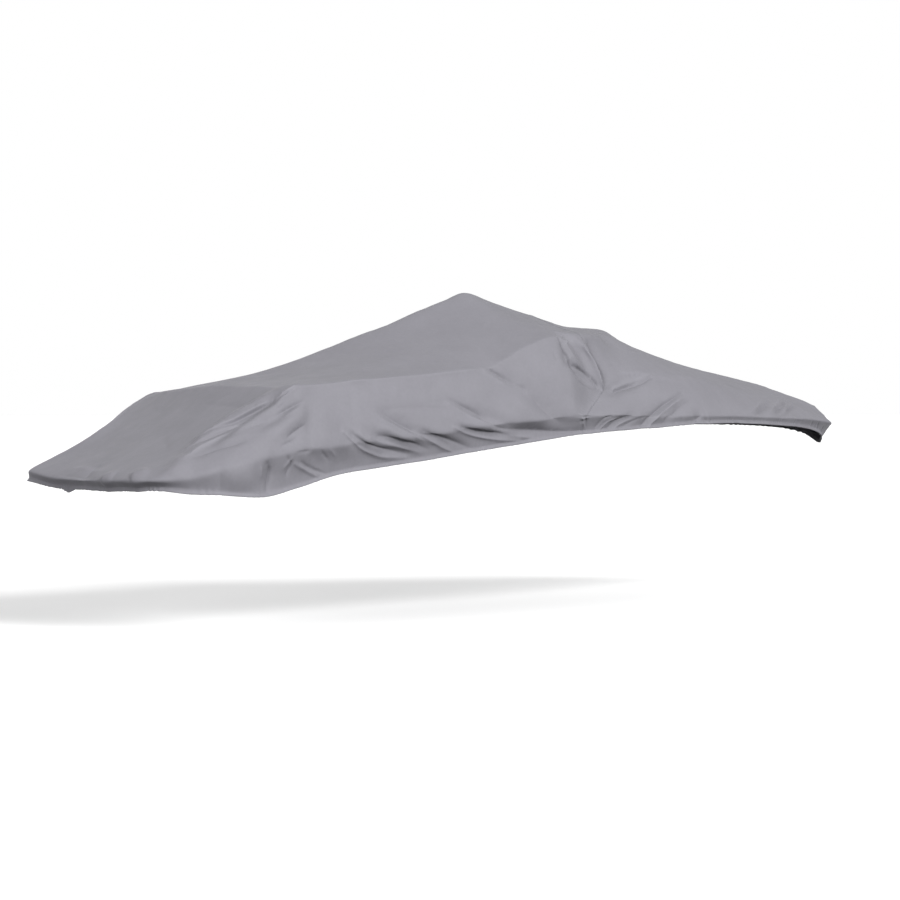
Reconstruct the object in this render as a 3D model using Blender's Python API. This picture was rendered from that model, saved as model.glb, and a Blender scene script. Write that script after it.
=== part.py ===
"""Fitted cover for a trailered open-bow boat, hanging as it does over the boat.

Metres, +Z up, +X to the bow, +Y to port.  The origin is under the peak, where
the cover rests on the support pole.  The boat itself isn't part of the model.

The cloth bears on four lines of the boat: the rail (the gunwale and the edge of
the swim platform), the shoulder (the cockpit coaming, the top of the transom
and the edges of the windscreen), a crown line and the spine over the
centreline.  Below the rail the skirt hangs free to its corded hem.  Two panels,
sewn together at one seam across the boat, make up the whole.
"""

from collections import namedtuple

import bmesh
import bpy
import numpy as np
from mathutils import Vector

# ---------------------------------------------------------------- sizes
SHEET_THICKNESS = 0.0025      # coated polyester with its seams and dirt
HEM_THICKNESS = 0.006         # cloth turned over the draw cord
HEM_BAND = 0.028              # height of the turned-over hem
HEM_ROWS = 2                  # mesh rows that the turned-over hem takes
HEM_ROW_DROPS = (1.0, 0.8)    # how far each of them follows a drop of the hem
SEAM_GAP = 0.0003             # kept between the two panels
SEAM_SECTION = "seam"         # the seam follows this section from hem to hem
COLUMN_SPACING = 0.17         # mesh spacing along the boat
FOLD_COLUMN_SPACING = 0.10    # and where the cloth is most folded
FOLDED_SECTIONS = range(4, 16)
CLOTH_COLOUR = (0.27, 0.27, 0.30)
CLOTH_ROUGHNESS = 0.62
SHARP_ANGLE = 50.0            # degrees; shading breaks at the sheet's cut edges

# Mesh rows from the hem to the spine: share of the way from one line to the
# next.  Rows lie close together beside the rail and the shoulder, where the
# cloth turns.
SKIRT_ROWS = (0.0, None, 0.35, 0.62, 0.86)      # None: the top of the hem band
SIDE_ROWS = (0.0, 0.09, 0.25, 0.42, 0.60, 0.78, 0.92)
BROW_ROWS = (0.0, 0.08, 0.26, 0.50, 0.76)
TOP_ROWS = (0.0, 0.2, 0.4, 0.6, 0.8, 1.0)

# Slack of the cloth between two lines, as an outward belly (+) or a sag (-).
SKIRT_BELLY = 0.015
TOP_SAG = -0.012
SLACK_REACH = 0.4             # a shorter stretch of cloth has less slack
PORT_SLUMP = 0.04             # the port half of the top hangs lower, per metre out

# The form that every fold takes.
FOLD_FADE = 0.35              # share of its length over which a fold dies away
FOLD_END = 0.25               # share of its height left at its tips
FOLD_NARROWNESS = 2.0         # of the bell curve across it, for its width
FAR_CLOTH = 2.0               # a fold's hold on cloth round a corner weakens this fast

# One row for each section, from the middle of the stern round to the bow tip.
# Every point is (x, distance out from the centreline, z); the spine has no
# distance out.  Belly is the slack between rail and shoulder.
Section = namedtuple("Section", "name belly hem rail shoulder crown spine")
SECTIONS = tuple(Section(*row) for row in (
    ("stern", -0.045, (-3.555, 0.000, -1.575), (-3.64, 0.00, -1.50),
     (-2.50, 0.00, -0.795), (-2.34, 0.00, -0.760), (-2.18, -0.715)),
    ("stern half", -0.045, (-3.545, 0.440, -1.570), (-3.63, 0.45, -1.495),
     (-2.49, 0.50, -0.805), (-2.28, 0.28, -0.760), (-2.08, -0.695)),
    ("platform corner", -0.050, (-3.46, 0.770, -1.560), (-3.54, 0.81, -1.49),
     (-2.47, 0.92, -0.815), (-2.20, 0.47, -0.760), (-1.98, -0.670)),
    ("platform side", -0.020, (-3.29, 0.935, -1.580), (-3.34, 0.98, -1.475),
     (-2.44, 1.01, -0.805), (-2.14, 0.52, -0.750), (-1.89, -0.645)),
    ("fan", 0.000, (-3.06, 1.060, -1.600), (-3.10, 1.11, -1.41),
     (-2.39, 1.05, -0.800), (-2.08, 0.54, -0.735), (-1.80, -0.620)),
    ("quarter", 0.020, (-2.80, 1.145, -1.620), (-2.80, 1.21, -1.335),
     (-2.29, 1.06, -0.795), (-1.99, 0.54, -0.715), (-1.70, -0.590)),
    ("aft coaming", 0.020, (-2.50, 1.150, -1.560), (-2.50, 1.235, -1.285),
     (-2.14, 1.06, -0.785), (-1.84, 0.54, -0.690), (-1.55, -0.540)),
    ("aft cockpit", 0.020, (-2.10, 1.145, -1.460), (-2.10, 1.24, -1.245),
     (-1.90, 1.055, -0.760), (-1.62, 0.54, -0.640), (-1.36, -0.475)),
    ("cockpit", 0.015, (-1.65, 1.145, -1.405), (-1.65, 1.24, -1.200),
     (-1.55, 1.055, -0.735), (-1.32, 0.54, -0.580), (-1.10, -0.385)),
    ("mid cockpit", 0.015, (-1.20, 1.145, -1.350), (-1.20, 1.24, -1.165),
     (-1.18, 1.055, -0.700), (-0.98, 0.56, -0.515), (-0.78, -0.280)),
    ("fore cockpit", 0.010, (-0.75, 1.150, -1.295), (-0.75, 1.24, -1.105),
     (-0.86, 1.055, -0.665), (-0.65, 0.60, -0.455), (-0.45, -0.155)),
    ("screen foot", 0.010, (-0.38, 1.155, -1.250), (-0.38, 1.24, -1.080),
     (-0.60, 1.05, -0.648), (-0.38, 0.64, -0.400), (-0.19, -0.058)),
    ("screen edge", 0.020, (-0.06, 1.155, -1.215), (-0.06, 1.235, -1.055),
     (-0.14, 0.99, -0.470), (-0.04, 0.70, -0.345), (0.00, 0.003)),
    ("screen top", 0.020, (0.14, 1.155, -1.190), (0.14, 1.23, -1.040),
     (0.22, 0.955, -0.385), (0.20, 0.74, -0.320), (0.26, -0.066)),
    ("seam", -0.010, (0.28, 1.150, -1.175), (0.26, 1.225, -1.030),
     (0.64, 1.00, -0.815), (0.52, 0.84, -0.360), (0.68, -0.170)),
    ("foredeck", 0.010, (0.65, 1.135, -1.150), (0.65, 1.21, -1.025),
     (0.96, 0.955, -0.770), (0.84, 0.68, -0.350), (1.14, -0.266)),
    ("screen front", 0.015, (1.10, 1.100, -1.125), (1.10, 1.17, -1.035),
     (1.28, 0.90, -0.690), (1.14, 0.44, -0.345), (1.48, -0.279)),
    ("fore hatch", 0.020, (1.60, 1.025, -1.100), (1.60, 1.09, -1.030),
     (1.70, 0.80, -0.690), (1.66, 0.38, -0.480), (1.78, -0.396)),
    ("bow well", 0.020, (2.10, 0.915, -1.090), (2.10, 0.98, -1.030),
     (2.15, 0.68, -0.740), (2.16, 0.34, -0.600), (2.18, -0.510)),
    ("bow seat", 0.020, (2.60, 0.770, -1.100), (2.60, 0.84, -1.040),
     (2.60, 0.56, -0.800), (2.60, 0.28, -0.690), (2.62, -0.608)),
    ("fore well", 0.020, (3.08, 0.600, -1.115), (3.10, 0.67, -1.050),
     (3.06, 0.43, -0.860), (3.05, 0.21, -0.755), (3.04, -0.682)),
    ("bow deck", 0.015, (3.50, 0.415, -1.135), (3.55, 0.485, -1.060),
     (3.46, 0.31, -0.915), (3.42, 0.15, -0.820), (3.40, -0.745)),
    ("bow", 0.010, (3.86, 0.240, -1.175), (3.95, 0.31, -1.080),
     (3.83, 0.18, -0.965), (3.76, 0.09, -0.885), (3.72, -0.825)),
    ("bow round", 0.005, (4.09, 0.120, -1.225), (4.22, 0.15, -1.100),
     (4.10, 0.08, -1.000), (4.02, 0.04, -0.935), (3.97, -0.885)),
    ("bow tip", 0.000, (4.19, 0.00, -1.275), (4.36, 0.00, -1.110),
     (4.27, 0.00, -1.025), (4.20, 0.00, -0.980), (4.14, -0.940)),
))

STARBOARD, PORT = -1, 1

# Where the port side hangs differently: section, line, then the change of
# (x, distance out, z).
PORT_CHANGES = (
    ("platform corner", "hem", (-0.09, 0.06, 0.045)),
    ("platform corner", "rail", (-0.07, 0.06, 0.050)),
    ("platform corner", "shoulder", (0.05, 0.02, 0.005)),
    ("platform side", "hem", (-0.05, 0.02, 0.050)),
    ("platform side", "rail", (-0.03, 0.02, 0.030)),
    ("platform side", "shoulder", (0.06, 0.01, -0.005)),
    ("fan", "hem", (-0.02, 0.00, 0.040)),
    ("fan", "shoulder", (0.03, 0.00, -0.010)),
    ("quarter", "hem", (0.00, 0.00, 0.030)),
    ("cockpit", "hem", (0.00, 0.00, -0.020)),
    ("fore cockpit", "hem", (0.00, 0.00, 0.015)),
    ("fore well", "hem", (0.00, 0.00, 0.010)),
    ("bow deck", "hem", (0.00, 0.00, 0.030)),
    ("bow", "hem", (0.00, 0.00, 0.050)),
    ("bow round", "hem", (0.00, 0.00, 0.050)),
)

# Folds that stand up from the cloth (+) or sink into it (-).  The path's points
# are (x, distance out, z) on the cloth; width is across the fold.
Fold = namedtuple("Fold", "side width rise path")
FOLDS = tuple(Fold(*row) for row in (
    # The stern quarter: folds fan out from the coaming's corner.
    (STARBOARD, 0.17, 0.045, ((-2.44, 1.00, -0.80), (-2.61, 0.89, -0.92), (-2.81, 0.76, -1.06),
                              (-3.00, 0.74, -1.19), (-3.25, 0.80, -1.33))),
    (STARBOARD, 0.13, -0.042, ((-2.51, 1.04, -0.89), (-2.67, 0.92, -0.97), (-2.90, 0.83, -1.12))),
    (STARBOARD, 0.13, 0.027, ((-2.42, 1.07, -0.85), (-2.70, 1.01, -1.03), (-2.95, 0.95, -1.20))),
    (STARBOARD, 0.12, -0.031, ((-2.41, 1.11, -0.92), (-2.63, 1.09, -1.03), (-2.80, 1.03, -1.11))),
    (STARBOARD, 0.14, 0.020, ((-2.38, 1.13, -0.95), (-2.55, 1.16, -1.09), (-2.85, 1.10, -1.24))),
    (STARBOARD, 0.12, -0.020, ((-2.44, 1.18, -1.09), (-2.60, 1.19, -1.19))),
    (STARBOARD, 0.14, -0.024, ((-2.33, 1.10, -0.90), (-2.38, 1.19, -1.11), (-2.42, 1.23, -1.25))),
    # Lumps where the cloth turns over the edge of the swim platform.
    (STARBOARD, 0.16, 0.024, ((-3.56, 0.35, -1.44), (-3.60, 0.22, -1.50))),
    (STARBOARD, 0.15, 0.027, ((-3.45, 0.66, -1.42), (-3.56, 0.58, -1.50))),
    (STARBOARD, 0.16, 0.027, ((-3.20, 0.80, -1.33), (-3.42, 0.88, -1.47))),
    (PORT, 0.18, -0.020, ((-3.40, 0.10, -1.41), (-3.62, 0.05, -1.50))),
    # The skirt under the quarter: a full bulge, then pinched in.
    (STARBOARD, 0.22, 0.045, ((-3.12, 1.10, -1.50), (-2.97, 1.16, -1.49), (-2.84, 1.21, -1.48))),
    (STARBOARD, 0.10, -0.034, ((-2.77, 1.22, -1.40), (-2.74, 1.21, -1.60))),
    (STARBOARD, 0.09, 0.020, ((-2.66, 1.23, -1.36), (-2.62, 1.22, -1.55))),
    (STARBOARD, 0.09, 0.020, ((-2.55, 1.24, -1.37), (-2.33, 1.23, -1.50))),
    (STARBOARD, 0.12, -0.020, ((-2.42, 1.24, -1.31), (-2.22, 1.23, -1.43))),
    # Drag folds that run aft and up from the skirt.
    (STARBOARD, 0.10, -0.034, ((-2.13, 1.21, -1.14), (-1.99, 1.24, -1.24), (-1.77, 1.24, -1.33),
                               (-1.52, 1.23, -1.35))),
    (STARBOARD, 0.11, 0.031, ((-2.02, 1.23, -1.16), (-1.84, 1.24, -1.27), (-1.62, 1.24, -1.31))),
    (STARBOARD, 0.10, -0.031, ((-1.90, 1.22, -1.17), (-1.73, 1.24, -1.21), (-1.60, 1.24, -1.26),
                               (-1.37, 1.23, -1.33))),
    (STARBOARD, 0.12, 0.027, ((-1.78, 1.20, -1.08), (-1.58, 1.24, -1.18), (-1.36, 1.24, -1.26))),
    (STARBOARD, 0.12, -0.027, ((-1.80, 1.16, -0.98), (-1.58, 1.21, -1.08), (-1.40, 1.24, -1.17),
                               (-1.13, 1.23, -1.30))),
    (STARBOARD, 0.13, -0.031, ((-1.06, 1.15, -0.90), (-0.91, 1.19, -0.99), (-0.69, 1.22, -1.05),
                               (-0.45, 1.24, -1.15), (0.03, 1.22, -1.17))),
    (STARBOARD, 0.11, -0.027, ((-1.10, 1.22, -1.10), (-0.90, 1.24, -1.17), (-0.45, 1.23, -1.23))),
    (STARBOARD, 0.12, 0.024, ((-0.98, 1.22, -1.07), (-0.70, 1.24, -1.14), (-0.30, 1.23, -1.20))),
    # From the foot of the windscreen down to the seam.
    (STARBOARD, 0.19, -0.039, ((-0.60, 1.04, -0.65), (-0.30, 1.14, -0.80), (-0.17, 1.19, -0.93),
                               (0.00, 1.23, -1.05), (0.20, 1.22, -1.14))),
    # Round the front corner of the windscreen.
    (STARBOARD, 0.11, -0.036, ((0.24, 0.97, -0.42), (0.23, 1.05, -0.58), (0.34, 1.05, -0.67),
                               (0.56, 1.00, -0.79))),
    (STARBOARD, 0.10, 0.036, ((0.43, 0.86, -0.38), (0.55, 0.89, -0.49), (0.58, 0.94, -0.64),
                              (0.64, 0.99, -0.79))),
    (STARBOARD, 0.16, -0.034, ((0.62, 0.80, -0.42), (0.70, 0.88, -0.60), (0.70, 0.97, -0.78))),
    (STARBOARD, 0.12, -0.031, ((0.65, 1.01, -0.83), (0.79, 1.00, -0.81), (1.00, 0.95, -0.76),
                               (1.28, 0.88, -0.69))),
    # Gathers at the seam's foot and along the foredeck's skirt.
    (STARBOARD, 0.10, -0.024, ((0.50, 1.21, -1.13), (0.76, 1.20, -1.05), (0.90, 1.19, -0.99))),
    (STARBOARD, 0.13, -0.024, ((0.88, 1.18, -1.12), (1.01, 1.18, -1.05), (1.36, 1.06, -0.91))),
    (STARBOARD, 0.12, 0.018, ((1.02, 1.17, -1.10), (1.24, 1.13, -1.00), (1.46, 1.05, -0.90))),
    (STARBOARD, 0.10, -0.020, ((1.17, 1.16, -1.06), (1.45, 1.10, -0.95))),
    (STARBOARD, 0.10, -0.020, ((1.58, 1.08, -1.07), (1.72, 1.06, -1.01))),
    # Soft hollows near the bow.
    (STARBOARD, 0.14, -0.020, ((2.95, 0.57, -0.91), (2.62, 0.80, -1.01))),
    (STARBOARD, 0.14, -0.020, ((3.24, 0.47, -0.93), (2.94, 0.70, -1.01))),
    (STARBOARD, 0.14, -0.017, ((3.60, 0.27, -0.93), (3.25, 0.58, -1.02))),
    # The port side, which hangs a little less tightly.
    (PORT, 0.18, 0.039, ((-2.38, 1.02, -0.84), (-2.66, 0.92, -1.00), (-2.98, 0.82, -1.20),
                         (-3.26, 0.84, -1.36))),
    (PORT, 0.14, -0.037, ((-2.44, 1.08, -0.92), (-2.72, 1.00, -1.07), (-2.98, 0.95, -1.22))),
    (PORT, 0.13, -0.027, ((-2.36, 1.13, -0.97), (-2.58, 1.16, -1.12))),
    (PORT, 0.22, 0.036, ((-3.06, 1.12, -1.48), (-2.80, 1.21, -1.46))),
    (PORT, 0.12, -0.027, ((-2.60, 1.23, -1.36), (-2.48, 1.22, -1.54))),
    (PORT, 0.13, -0.034, ((-2.20, 1.20, -1.12), (-1.96, 1.24, -1.25), (-1.60, 1.23, -1.36))),
    (PORT, 0.14, 0.024, ((-1.95, 1.20, -1.12), (-1.66, 1.24, -1.24))),
    (PORT, 0.14, -0.031, ((-1.62, 1.16, -0.98), (-1.34, 1.22, -1.12), (-1.05, 1.24, -1.24))),
    (PORT, 0.16, -0.031, ((-0.98, 1.14, -0.88), (-0.60, 1.22, -1.04), (-0.10, 1.22, -1.16))),
    (PORT, 0.20, -0.037, ((-0.60, 1.04, -0.69), (-0.26, 1.15, -0.86), (0.06, 1.23, -1.08))),
    (PORT, 0.13, -0.037, ((0.26, 0.98, -0.48), (0.30, 1.05, -0.66), (0.58, 1.01, -0.82))),
    (PORT, 0.12, 0.034, ((0.50, 0.86, -0.44), (0.62, 0.95, -0.72))),
    (PORT, 0.13, -0.027, ((0.66, 1.01, -0.86), (0.98, 0.96, -0.80), (1.24, 0.90, -0.73))),
    (PORT, 0.13, -0.031, ((0.74, 1.19, -1.12), (1.30, 1.08, -0.94))),
    (PORT, 0.13, -0.020, ((2.20, 0.92, -1.06), (2.55, 0.74, -0.94))),
    (PORT, 0.14, -0.020, ((3.30, 0.46, -0.96), (3.00, 0.66, -1.03))),
))

# Where the hem drops below its line: side, (x, distance out, z), width, drop.
HEM_DROPS = (
    (PORT, (-3.54, 0.32, -1.56), 0.10, 0.030),
    (STARBOARD, (-3.30, 0.98, -1.58), 0.22, 0.010),
    (STARBOARD, (-1.30, 1.22, -1.36), 0.30, 0.006),
)


# ---------------------------------------------------------------- helpers
def clear_scene():
    """Remove every object that is in the file."""
    for item in list(bpy.data.objects):
        bpy.data.objects.remove(item, do_unlink=True)


def cloth_material(name, colour, roughness):
    """Plain material of the coated cloth."""
    material = bpy.data.materials.new(name)
    material.use_nodes = True
    shader = material.node_tree.nodes["Principled BSDF"]
    shader.inputs["Base Color"].default_value = (*colour, 1.0)
    shader.inputs["Roughness"].default_value = roughness
    shader.inputs["Metallic"].default_value = 0.0
    return material


def eased_curve(values, at):
    """Smooth curve through one value for each whole number, without overshoot."""
    values = np.asarray(values, float)
    step = np.diff(values, axis=0)
    before, after = step[:-1], step[1:]
    same_way = before * after > 0
    total = np.where(same_way, before + after, 1.0)
    slope = np.zeros_like(values)
    slope[1:-1] = np.where(same_way, 2.0 * before * after / total, 0.0)
    slope[0], slope[-1] = step[0], step[-1]
    index = np.clip(np.floor(at).astype(int), 0, len(values) - 2)
    t = (at - index)[:, None]
    rise = values[index + 1] - values[index]
    cubic = 3 * t**2 - 2 * t**3
    return (values[index] + cubic * rise + (t - 2 * t**2 + t**3) * slope[index]
            + (t**3 - t**2) * slope[index + 1])


# ---------------------------------------------------------------- the shape
def line_points(side, line):
    """The points of one line on one side, one for each section."""
    points = []
    for section in SECTIONS:
        given = getattr(section, line)
        point = np.array((given[0], 0.0, given[1]) if line == "spine" else given)
        if side == PORT:
            if line in ("shoulder", "crown"):
                point[2] -= PORT_SLUMP * point[1]
            for name, changed, change in PORT_CHANGES:
                if (name, changed) == (section.name, line):
                    point = point + change
        point[1] *= side
        points.append(point)
    return np.array(points)


def column_places():
    """Section numbers of the mesh columns, evenly spaced along the boat."""
    rail = line_points(STARBOARD, "rail")
    shoulder = line_points(STARBOARD, "shoulder")
    places = []
    for number in range(len(SECTIONS) - 1):
        reach = max(np.linalg.norm(line[number + 1] - line[number])
                    for line in (rail, shoulder))
        spacing = FOLD_COLUMN_SPACING if number in FOLDED_SECTIONS else COLUMN_SPACING
        count = max(2, round(reach / spacing))
        places.extend(number + np.arange(count) / count)
    return np.array(places + [len(SECTIONS) - 1.0])


def unit(vectors):
    """The same directions, one metre long."""
    return vectors / np.maximum(np.linalg.norm(vectors, axis=-1, keepdims=True), 1e-9)


def side_surface(side, places):
    """Points of one side's cloth, as columns by rows, from hem to spine."""
    lines = {line: eased_curve(line_points(side, line), places)
             for line in ("hem", "rail", "shoulder", "crown", "spine")}
    belly = eased_curve([[section.belly] for section in SECTIONS], places)
    skirt_height = np.linalg.norm(lines["rail"] - lines["hem"], axis=1)
    spans = (("hem", "rail", SKIRT_ROWS, SKIRT_BELLY), ("rail", "shoulder", SIDE_ROWS, belly),
             ("shoulder", "crown", BROW_ROWS, 0.0), ("crown", "spine", TOP_ROWS, TOP_SAG))
    rows = []
    for low, high, shares, slack in spans:
        run = lines[high] - lines[low]
        along = np.gradient(lines[high] + lines[low], axis=0)
        outward = unit(np.cross(along, run)) * -side
        taut = np.clip(np.linalg.norm(run, axis=1, keepdims=True) / SLACK_REACH, 0.0, 1.0)
        for share in shares:
            part = HEM_BAND / skirt_height if share is None else share
            part = np.broadcast_to(part, len(places))[:, None]
            rows.append(lines[low] + part * run + slack * taut * np.sin(np.pi * part) * outward)
    return np.stack(rows, axis=1)


def fold_height(points, normals, fold):
    """How far one fold lifts each point along its normal."""
    path = np.array(fold.path) * (1.0, fold.side, 1.0)
    lengths = np.linalg.norm(np.diff(path, axis=0), axis=1)
    total = lengths.sum()
    nearest = np.full(len(points), np.inf)
    travelled = np.zeros(len(points))
    for number, (start, end) in enumerate(zip(path[:-1], path[1:])):
        offset = points - start
        share = np.clip(offset @ (end - start) / lengths[number] ** 2, 0.0, 1.0)
        gap = offset - share[:, None] * (end - start)
        through = np.abs((gap * normals).sum(axis=1))
        across = np.linalg.norm(gap, axis=1) + FAR_CLOTH * np.maximum(through - fold.width, 0.0)
        closer = across < nearest
        nearest = np.where(closer, across, nearest)
        here = lengths[:number].sum() + share * lengths[number]
        travelled = np.where(closer, here, travelled)
    to_tip = np.minimum(travelled, total - travelled)
    fade = np.sin(0.5 * np.pi * np.clip(to_tip / (FOLD_FADE * total), 0.0, 1.0))
    strength = FOLD_END + (1.0 - FOLD_END) * fade
    return fold.rise * strength * np.exp(-(FOLD_NARROWNESS * nearest / fold.width) ** 2)


def sheet_normals(points, loops):
    """Outward direction at every point of the open sheet."""
    mesh = bpy.data.meshes.new("sheet")
    mesh.from_pydata(points.tolist(), [], loops)
    normals = np.array([tuple(item.vector) for item in mesh.vertex_normals])
    bpy.data.meshes.remove(mesh)
    return normals


def join_sides(sides):
    """Number the points of both sides, which share the stern, bow and spine."""
    columns, rows = sides[STARBOARD].shape[:2]
    points, numbers = [], {}
    for side in (STARBOARD, PORT):
        for column in range(columns):
            for row in range(rows):
                shared = column in (0, columns - 1) or row == rows - 1
                if shared and side == PORT:
                    numbers[side, column, row] = numbers[STARBOARD, column, row]
                else:
                    numbers[side, column, row] = len(points)
                    points.append(sides[side][column, row])
    return np.array(points), numbers, columns, rows


def cell_loops(numbers, columns, rows):
    """The four-sided cells of the sheet that lie between the given columns."""
    loops = []
    for side in (STARBOARD, PORT):
        for column in columns:
            for row in range(rows - 1):
                loop = [numbers[side, column, row], numbers[side, column + 1, row],
                        numbers[side, column + 1, row + 1], numbers[side, column, row + 1]]
                loops.append(loop if side == STARBOARD else loop[::-1])
    return loops


def drop_hem(points, numbers, columns):
    """Let the hem hang lower where HEM_DROPS says so."""
    for side, place, width, drop in HEM_DROPS:
        centre = np.array(place) * (1.0, side, 1.0)
        for column in range(columns):
            for row, share in enumerate(HEM_ROW_DROPS):
                point = points[numbers[side, column, row]]
                reach = np.linalg.norm((point - centre)[:2]) / width
                point[2] -= drop * share * max(0.0, 1.0 - reach)


def cover_sheet():
    """The whole cover as one open sheet: points, normals and their numbers."""
    places = column_places()
    sides = {side: side_surface(side, places) for side in (STARBOARD, PORT)}
    points, numbers, columns, rows = join_sides(sides)
    loops = cell_loops(numbers, range(columns - 1), rows)
    normals = sheet_normals(points, loops)
    height = sum(fold_height(points, normals, fold) for fold in FOLDS)
    points = points + height[:, None] * normals
    drop_hem(points, numbers, columns)
    return points, sheet_normals(points, loops), numbers, places, rows


# ---------------------------------------------------------------- the panels
def seam_shift(points, numbers, column, rows):
    """Direction across the seam, towards the bow, at each of its points."""
    shift = np.zeros_like(points)
    for side in (STARBOARD, PORT):
        for row in range(rows):
            across = (points[numbers[side, column + 1, row]]
                      - points[numbers[side, column - 1, row]])
            along = (points[numbers[side, column, min(row + 1, rows - 1)]]
                     - points[numbers[side, column, max(row - 1, 0)]])
            along = unit(along)
            shift[numbers[side, column, row]] = unit(across - along * (across @ along))
    return shift


def flatter_split(points, loop):
    """The two triangles of a four-sided cell, split along its less folded diagonal."""
    def fold(first, second):
        normals = [unit(np.cross(points[b] - points[a], points[c] - points[a]))
                   for a, b, c in (first, second)]
        return normals[0] @ normals[1]
    a, b, c, d = loop
    ways = (((a, b, c), (a, c, d)), ((a, b, d), (b, c, d)))
    return max(ways, key=lambda way: fold(*way))


def cloth_panel(name, outer, inner, loops, material):
    """Closed solid between the outer and inner points of the given cells."""
    used = sorted({number for loop in loops for number in loop})
    place = {number: index for index, number in enumerate(used)}
    mesh = bmesh.new()
    skins = [[mesh.verts.new(Vector(skin[number])) for number in used]
             for skin in (outer, inner)]
    sides = {}
    for loop in loops:
        # Both skins split alike, so that the wall keeps its thickness in a fold.
        for triangle in flatter_split(outer, loop):
            corners = [place[number] for number in triangle]
            mesh.faces.new([skins[0][corner] for corner in corners])
            mesh.faces.new([skins[1][corner] for corner in reversed(corners)])
        around = [place[number] for number in loop]
        sides.update(dict.fromkeys(zip(around, around[1:] + around[:1])))
    for start, end in sides:
        if (end, start) not in sides:
            rim = [skins[0][end], skins[0][start], skins[1][start], skins[1][end]]
            # The same diagonal on both panels, so that their rims stay parallel.
            first, second = ((0, 1, 2), (0, 2, 3)) if start > end else ((0, 1, 3), (1, 2, 3))
            mesh.faces.new([rim[corner] for corner in first])
            mesh.faces.new([rim[corner] for corner in second])
    data = bpy.data.meshes.new(name)
    mesh.to_mesh(data)
    mesh.free()
    data.shade_smooth()
    data.set_sharp_from_angle(angle=np.radians(SHARP_ANGLE))
    data.materials.append(material)
    panel = bpy.data.objects.new(name, data)
    bpy.context.scene.collection.objects.link(panel)
    return panel


def build_cover():
    """Both panels of the cover, a seam's gap apart."""
    points, normals, numbers, places, rows = cover_sheet()
    thickness = np.full(len(points), SHEET_THICKNESS)
    for (_, _, row), number in numbers.items():
        if row < HEM_ROWS:
            thickness[number] = HEM_THICKNESS
    section_names = [section.name for section in SECTIONS]
    seam = int(np.argmin(np.abs(places - section_names.index(SEAM_SECTION))))
    shift = seam_shift(points, numbers, seam, rows) * SEAM_GAP / 2
    cloth = cloth_material("coated polyester", CLOTH_COLOUR, CLOTH_ROUGHNESS)
    for name, columns, way in (("aft_panel", range(seam), -1),
                               ("bow_panel", range(seam, len(places) - 1), 1)):
        outer = points + way * shift
        inner = outer - normals * thickness[:, None]
        cloth_panel(name, outer, inner, cell_loops(numbers, columns, rows), cloth)


def main():
    clear_scene()
    build_cover()


main()
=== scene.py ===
"""Looks of a fitted boat cover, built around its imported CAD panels.

Metres, +Z up, +X to the bow, +Y to port.  The origin is under the peak.  The
cover is two panels of coated polyester, lapped and sewn together at one seam,
with a hem turned over a draw cord all the way round.
"""

import math
from collections import namedtuple

import bmesh
import bpy
import numpy as np
from mathutils import Matrix, Vector


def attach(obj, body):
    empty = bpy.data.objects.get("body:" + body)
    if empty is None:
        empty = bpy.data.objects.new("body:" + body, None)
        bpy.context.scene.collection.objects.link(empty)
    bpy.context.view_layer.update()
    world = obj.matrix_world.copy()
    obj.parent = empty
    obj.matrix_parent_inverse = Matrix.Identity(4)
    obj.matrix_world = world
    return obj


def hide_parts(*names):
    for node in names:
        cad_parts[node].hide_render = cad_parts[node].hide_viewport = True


bl_info = {
    "name": "Boat cover",
    "version": (1, 0, 0),
    "blender": (4, 5, 0),
    "location": "3D View > Sidebar > Boat cover",
    "description": "Builds the cloth, the stitching and the stage of a fitted boat cover",
    "category": "Object",
}

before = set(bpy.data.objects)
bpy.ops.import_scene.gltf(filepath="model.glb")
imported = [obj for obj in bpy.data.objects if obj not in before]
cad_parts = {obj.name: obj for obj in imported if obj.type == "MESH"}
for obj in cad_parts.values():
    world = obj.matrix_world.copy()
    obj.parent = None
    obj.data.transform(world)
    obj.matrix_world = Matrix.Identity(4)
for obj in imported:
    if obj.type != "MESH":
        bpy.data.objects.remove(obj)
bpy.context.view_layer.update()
BODY = "root"
STARBOARD, PORT = -1, 1

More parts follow.
